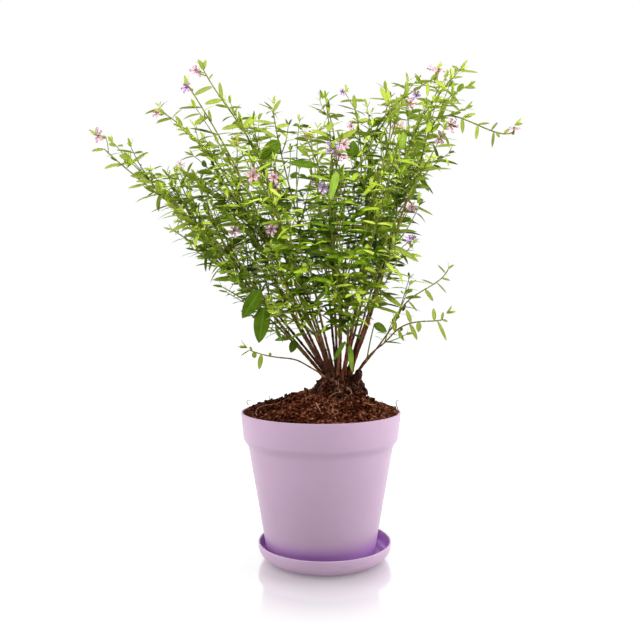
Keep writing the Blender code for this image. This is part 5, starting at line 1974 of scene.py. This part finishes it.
# %% Stamens
STAMENS_EACH = 5
STAMEN_RING_R = 0.35 * MM
STAMEN_RADII = np.array([0.1, 0.1, 0.1, 0.22, 0.26, 0.12]) * MM
stamen_turn = rng.uniform(0, math.tau, (len(BLOSSOMS), STAMENS_EACH, 1))
across, other = [axis[:, None] for axis in square_to(blossom_facing)]
stamen_side = across * np.cos(stamen_turn) + other * np.sin(stamen_turn)
stamen_foot = blossom_at[:, None] + stamen_side * STAMEN_RING_R
stamen_way = blossom_facing[:, None] * 1.7 + (stamen_foot - blossom_at[:, None]) / MM * 1.2
stamen_foot, stamen_tip = [ends.reshape(-1, 1, 3) for ends in (stamen_foot, stamen_foot + stamen_way * MM)]
stamen_share = np.linspace(0, 1, len(STAMEN_RADII))[None, :, None]
stamen_paths = stamen_foot * (1 - stamen_share) + stamen_tip * stamen_share
stamen_points = tubes(stamen_paths, np.tile(STAMEN_RADII, (len(stamen_paths), 1)), 6)
stamen_finish = make_bark("stamen_skin", (0.05, 0.008, 0.02), (0.12, 0.02, 0.05), (0.3, 0.1, 0.12))
make_piece("stamens", kept_in_box(stamen_points, 0.0), stamen_finish, sharp=60.0)

# %% [markdown]
# ## Buds
#
# Near the tips of the shoots sit small closed buds on short stalks. They are short calyx tubes without
# petals.

# %% Buds
BUD_CHANCE = 0.16
BUDS_BEYOND = 0.55
BUD_STALK_R = 0.25 * MM
BUD_R = 0.75 * MM
# In millimetres: the length of a stalk, and of the shortest and the longest bud.
BUD_STALK = 2.2
BUD_LENGTHS = (2.5, 4.5)

rng = np.random.default_rng(13)
lucky = rng.uniform(0, 1, len(branch_nodes["reach"])) < BUD_CHANCE
near_tip = picked(branch_nodes, (branch_nodes["reach"] > BUDS_BEYOND) & lucky)
bud_way = sideways(near_tip["heading"], near_tip["turn"] + 0.8)
bud_way = unit(near_tip["heading"] + bud_way + 0.3 * UP)
bud_foot = near_tip["spot"] + bud_way * BUD_STALK * MM
bud_end = bud_foot + bud_way * rng.uniform(*BUD_LENGTHS, len(bud_foot))[:, None] * MM
bud = picked(dict(root=near_tip["spot"], foot=bud_foot, end=bud_end), in_box(bud_end, 1 * MM))
bud_points = calyx_points(bud["foot"], bud["end"], np.full(len(bud["foot"]), BUD_R), rings=7, corners=8)
make_piece("buds", bud_points, calyx_finish, sharp=60.0)
bud_stalks = dict(start=bud["root"], middle=0.5 * (bud["root"] + bud["foot"]), end=bud["foot"])
bud_stalk_r = np.full(len(bud["foot"]), BUD_STALK_R)
bud_stalk_points = twig_points(bud_stalks, bud_stalk_r, BUD_STALK_R, rings=3, corners=5)
make_piece("bud_stalks", bud_stalk_points, green_bark)

# %% [markdown]
# ## The studio
#
# The plant stands on a white, slightly glossy table in front of white, under even light. A white world
# gives that, and also the pale rims on the pot's sides. It is dimmer behind the viewer, as a room is
# where the lamps stand elsewhere, so the pot's front is in soft shade; rays from the camera still see it
# plain white. Two large lamps add shape from left and right, and a narrow beam from above the viewer
# lights the crown. Close to the pot the table is part mirror, part chalk, so the pot's reflection fades
# into it. A faint glow keeps the table pale in the pot's shade, as light from a large room would.

# %% Table
FLOOR_SIDE = 6.0
FLOOR_DROP = 0.2 * MM
FLOOR_GLOSS = 0.07
WHITE = (1.0, 1.0, 1.0, 1.0)
MIRROR_SHARE = 0.6
MIRROR_ENDS = (0.062, 0.165)
FLOOR_GLOW = 0.33
# The distances from the pot's axis at which the table's whiteness changes, and the whiteness there.
FLOOR_ENDS = (0.07, 0.32, 0.56, 0.66)


def make_floor():
    """A large flat sheet just under the saucer: part mirror near the pot, matt farther away."""
    half = FLOOR_SIDE / 2
    mesh = bpy.data.meshes.new("floor")
    corners = [(-half, -half), (half, -half), (half, half), (-half, half)]
    mesh.from_pydata([(x, y, -FLOOR_DROP) for x, y in corners], [], [(0, 1, 2, 3)])
    made = bpy.data.materials.new("white_table")
    made.use_nodes = True
    tree = made.node_tree
    place = add(tree, "TexCoord")
    away = add(tree, "VectorMath", wires={0: place.outputs["Object"]}, operation="LENGTH").outputs["Value"]
    chalk = add(tree, "BsdfDiffuse", wires={"Color": ranged(tree, away, FLOOR_ENDS)})
    glow = add(tree, "Emission", {"Color": WHITE, "Strength": FLOOR_GLOW})
    matt = add(tree, "AddShader", wires={0: chalk.outputs["BSDF"], 1: glow.outputs["Emission"]})
    gloss = add(tree, "BsdfGlossy", {"Color": WHITE, "Roughness": FLOOR_GLOSS})
    share = ranged(tree, away, (*MIRROR_ENDS, MIRROR_SHARE, 0.0))
    both = add(tree, "MixShader", wires={0: share, 1: matt.outputs["Shader"], 2: gloss.outputs["BSDF"]})
    tree.links.new(both.outputs["Shader"], tree.nodes["Material Output"].inputs["Surface"])
    mesh.materials.append(made)
    floor = bpy.data.objects.new("floor", mesh)
    bpy.context.scene.collection.objects.link(floor)


make_floor()


# %% Lamps
def make_lamp(name, place, aim, side, watts, spread=180.0):
    """A square soft lamp at a place, turned to its aim; the spread is its beam's angle in degrees."""
    lamp = bpy.data.lights.new(name, "AREA")
    lamp.size = side
    lamp.energy = watts
    lamp.spread = math.radians(spread)
    made = bpy.data.objects.new(name, lamp)
    made.visible_glossy = False
    made.location = place
    way = np.array(aim) - np.array(place)
    tilt = math.acos(-way[2] / np.linalg.norm(way))
    made.rotation_euler = (tilt, 0.0, math.atan2(way[1], way[0]) - math.pi / 2)
    bpy.context.scene.collection.objects.link(made)


make_lamp("lamp_left", (-1.0, 0.05, 0.5), aim=(0, 0, 0.2), side=0.7, watts=5.5)
make_lamp("lamp_right", (1.0, 0.05, 0.45), aim=(0, 0, 0.2), side=0.7, watts=8.5)
make_lamp("lamp_crown", (0.0, -0.95, 1.15), aim=(0, 0, 0.4), side=0.25, watts=0.85, spread=28.0)

# %% World
# Where the room turns dim behind the viewer, and its strength before and after.
DIM_ENDS = (-0.3, -0.8, 1.15, 0.1)
# From level to straight up, and the strength there.
RISE_ENDS = (0.0, 1.0, 1.0, 1.2)


def make_world():
    """White all round for the camera and for mirrors; for lighting, dim towards -Y and brighter overhead."""
    made = bpy.data.worlds.new("white_room")
    made.use_nodes = True
    tree = made.node_tree
    back = tree.nodes["Background"]
    back.inputs["Color"].default_value = WHITE
    way = add(tree, "TexCoord").outputs["Generated"]
    dim = ranged(tree, part_of(tree, way, "Y"), DIM_ENDS)
    rise = ranged(tree, part_of(tree, way, "Z"), RISE_ENDS)
    light = reckoned(tree, "MULTIPLY", dim, rise)
    ray = add(tree, "LightPath")
    seen = reckoned(tree, "MAXIMUM", ray.outputs["Is Camera Ray"], ray.outputs["Is Glossy Ray"])
    strength = add(tree, "Mix", {"B": 1.0}, {"Factor": seen, "A": light}, data_type="FLOAT")
    tree.links.new(strength.outputs["Result"], back.inputs["Strength"])
    bpy.context.scene.world = made


make_world()
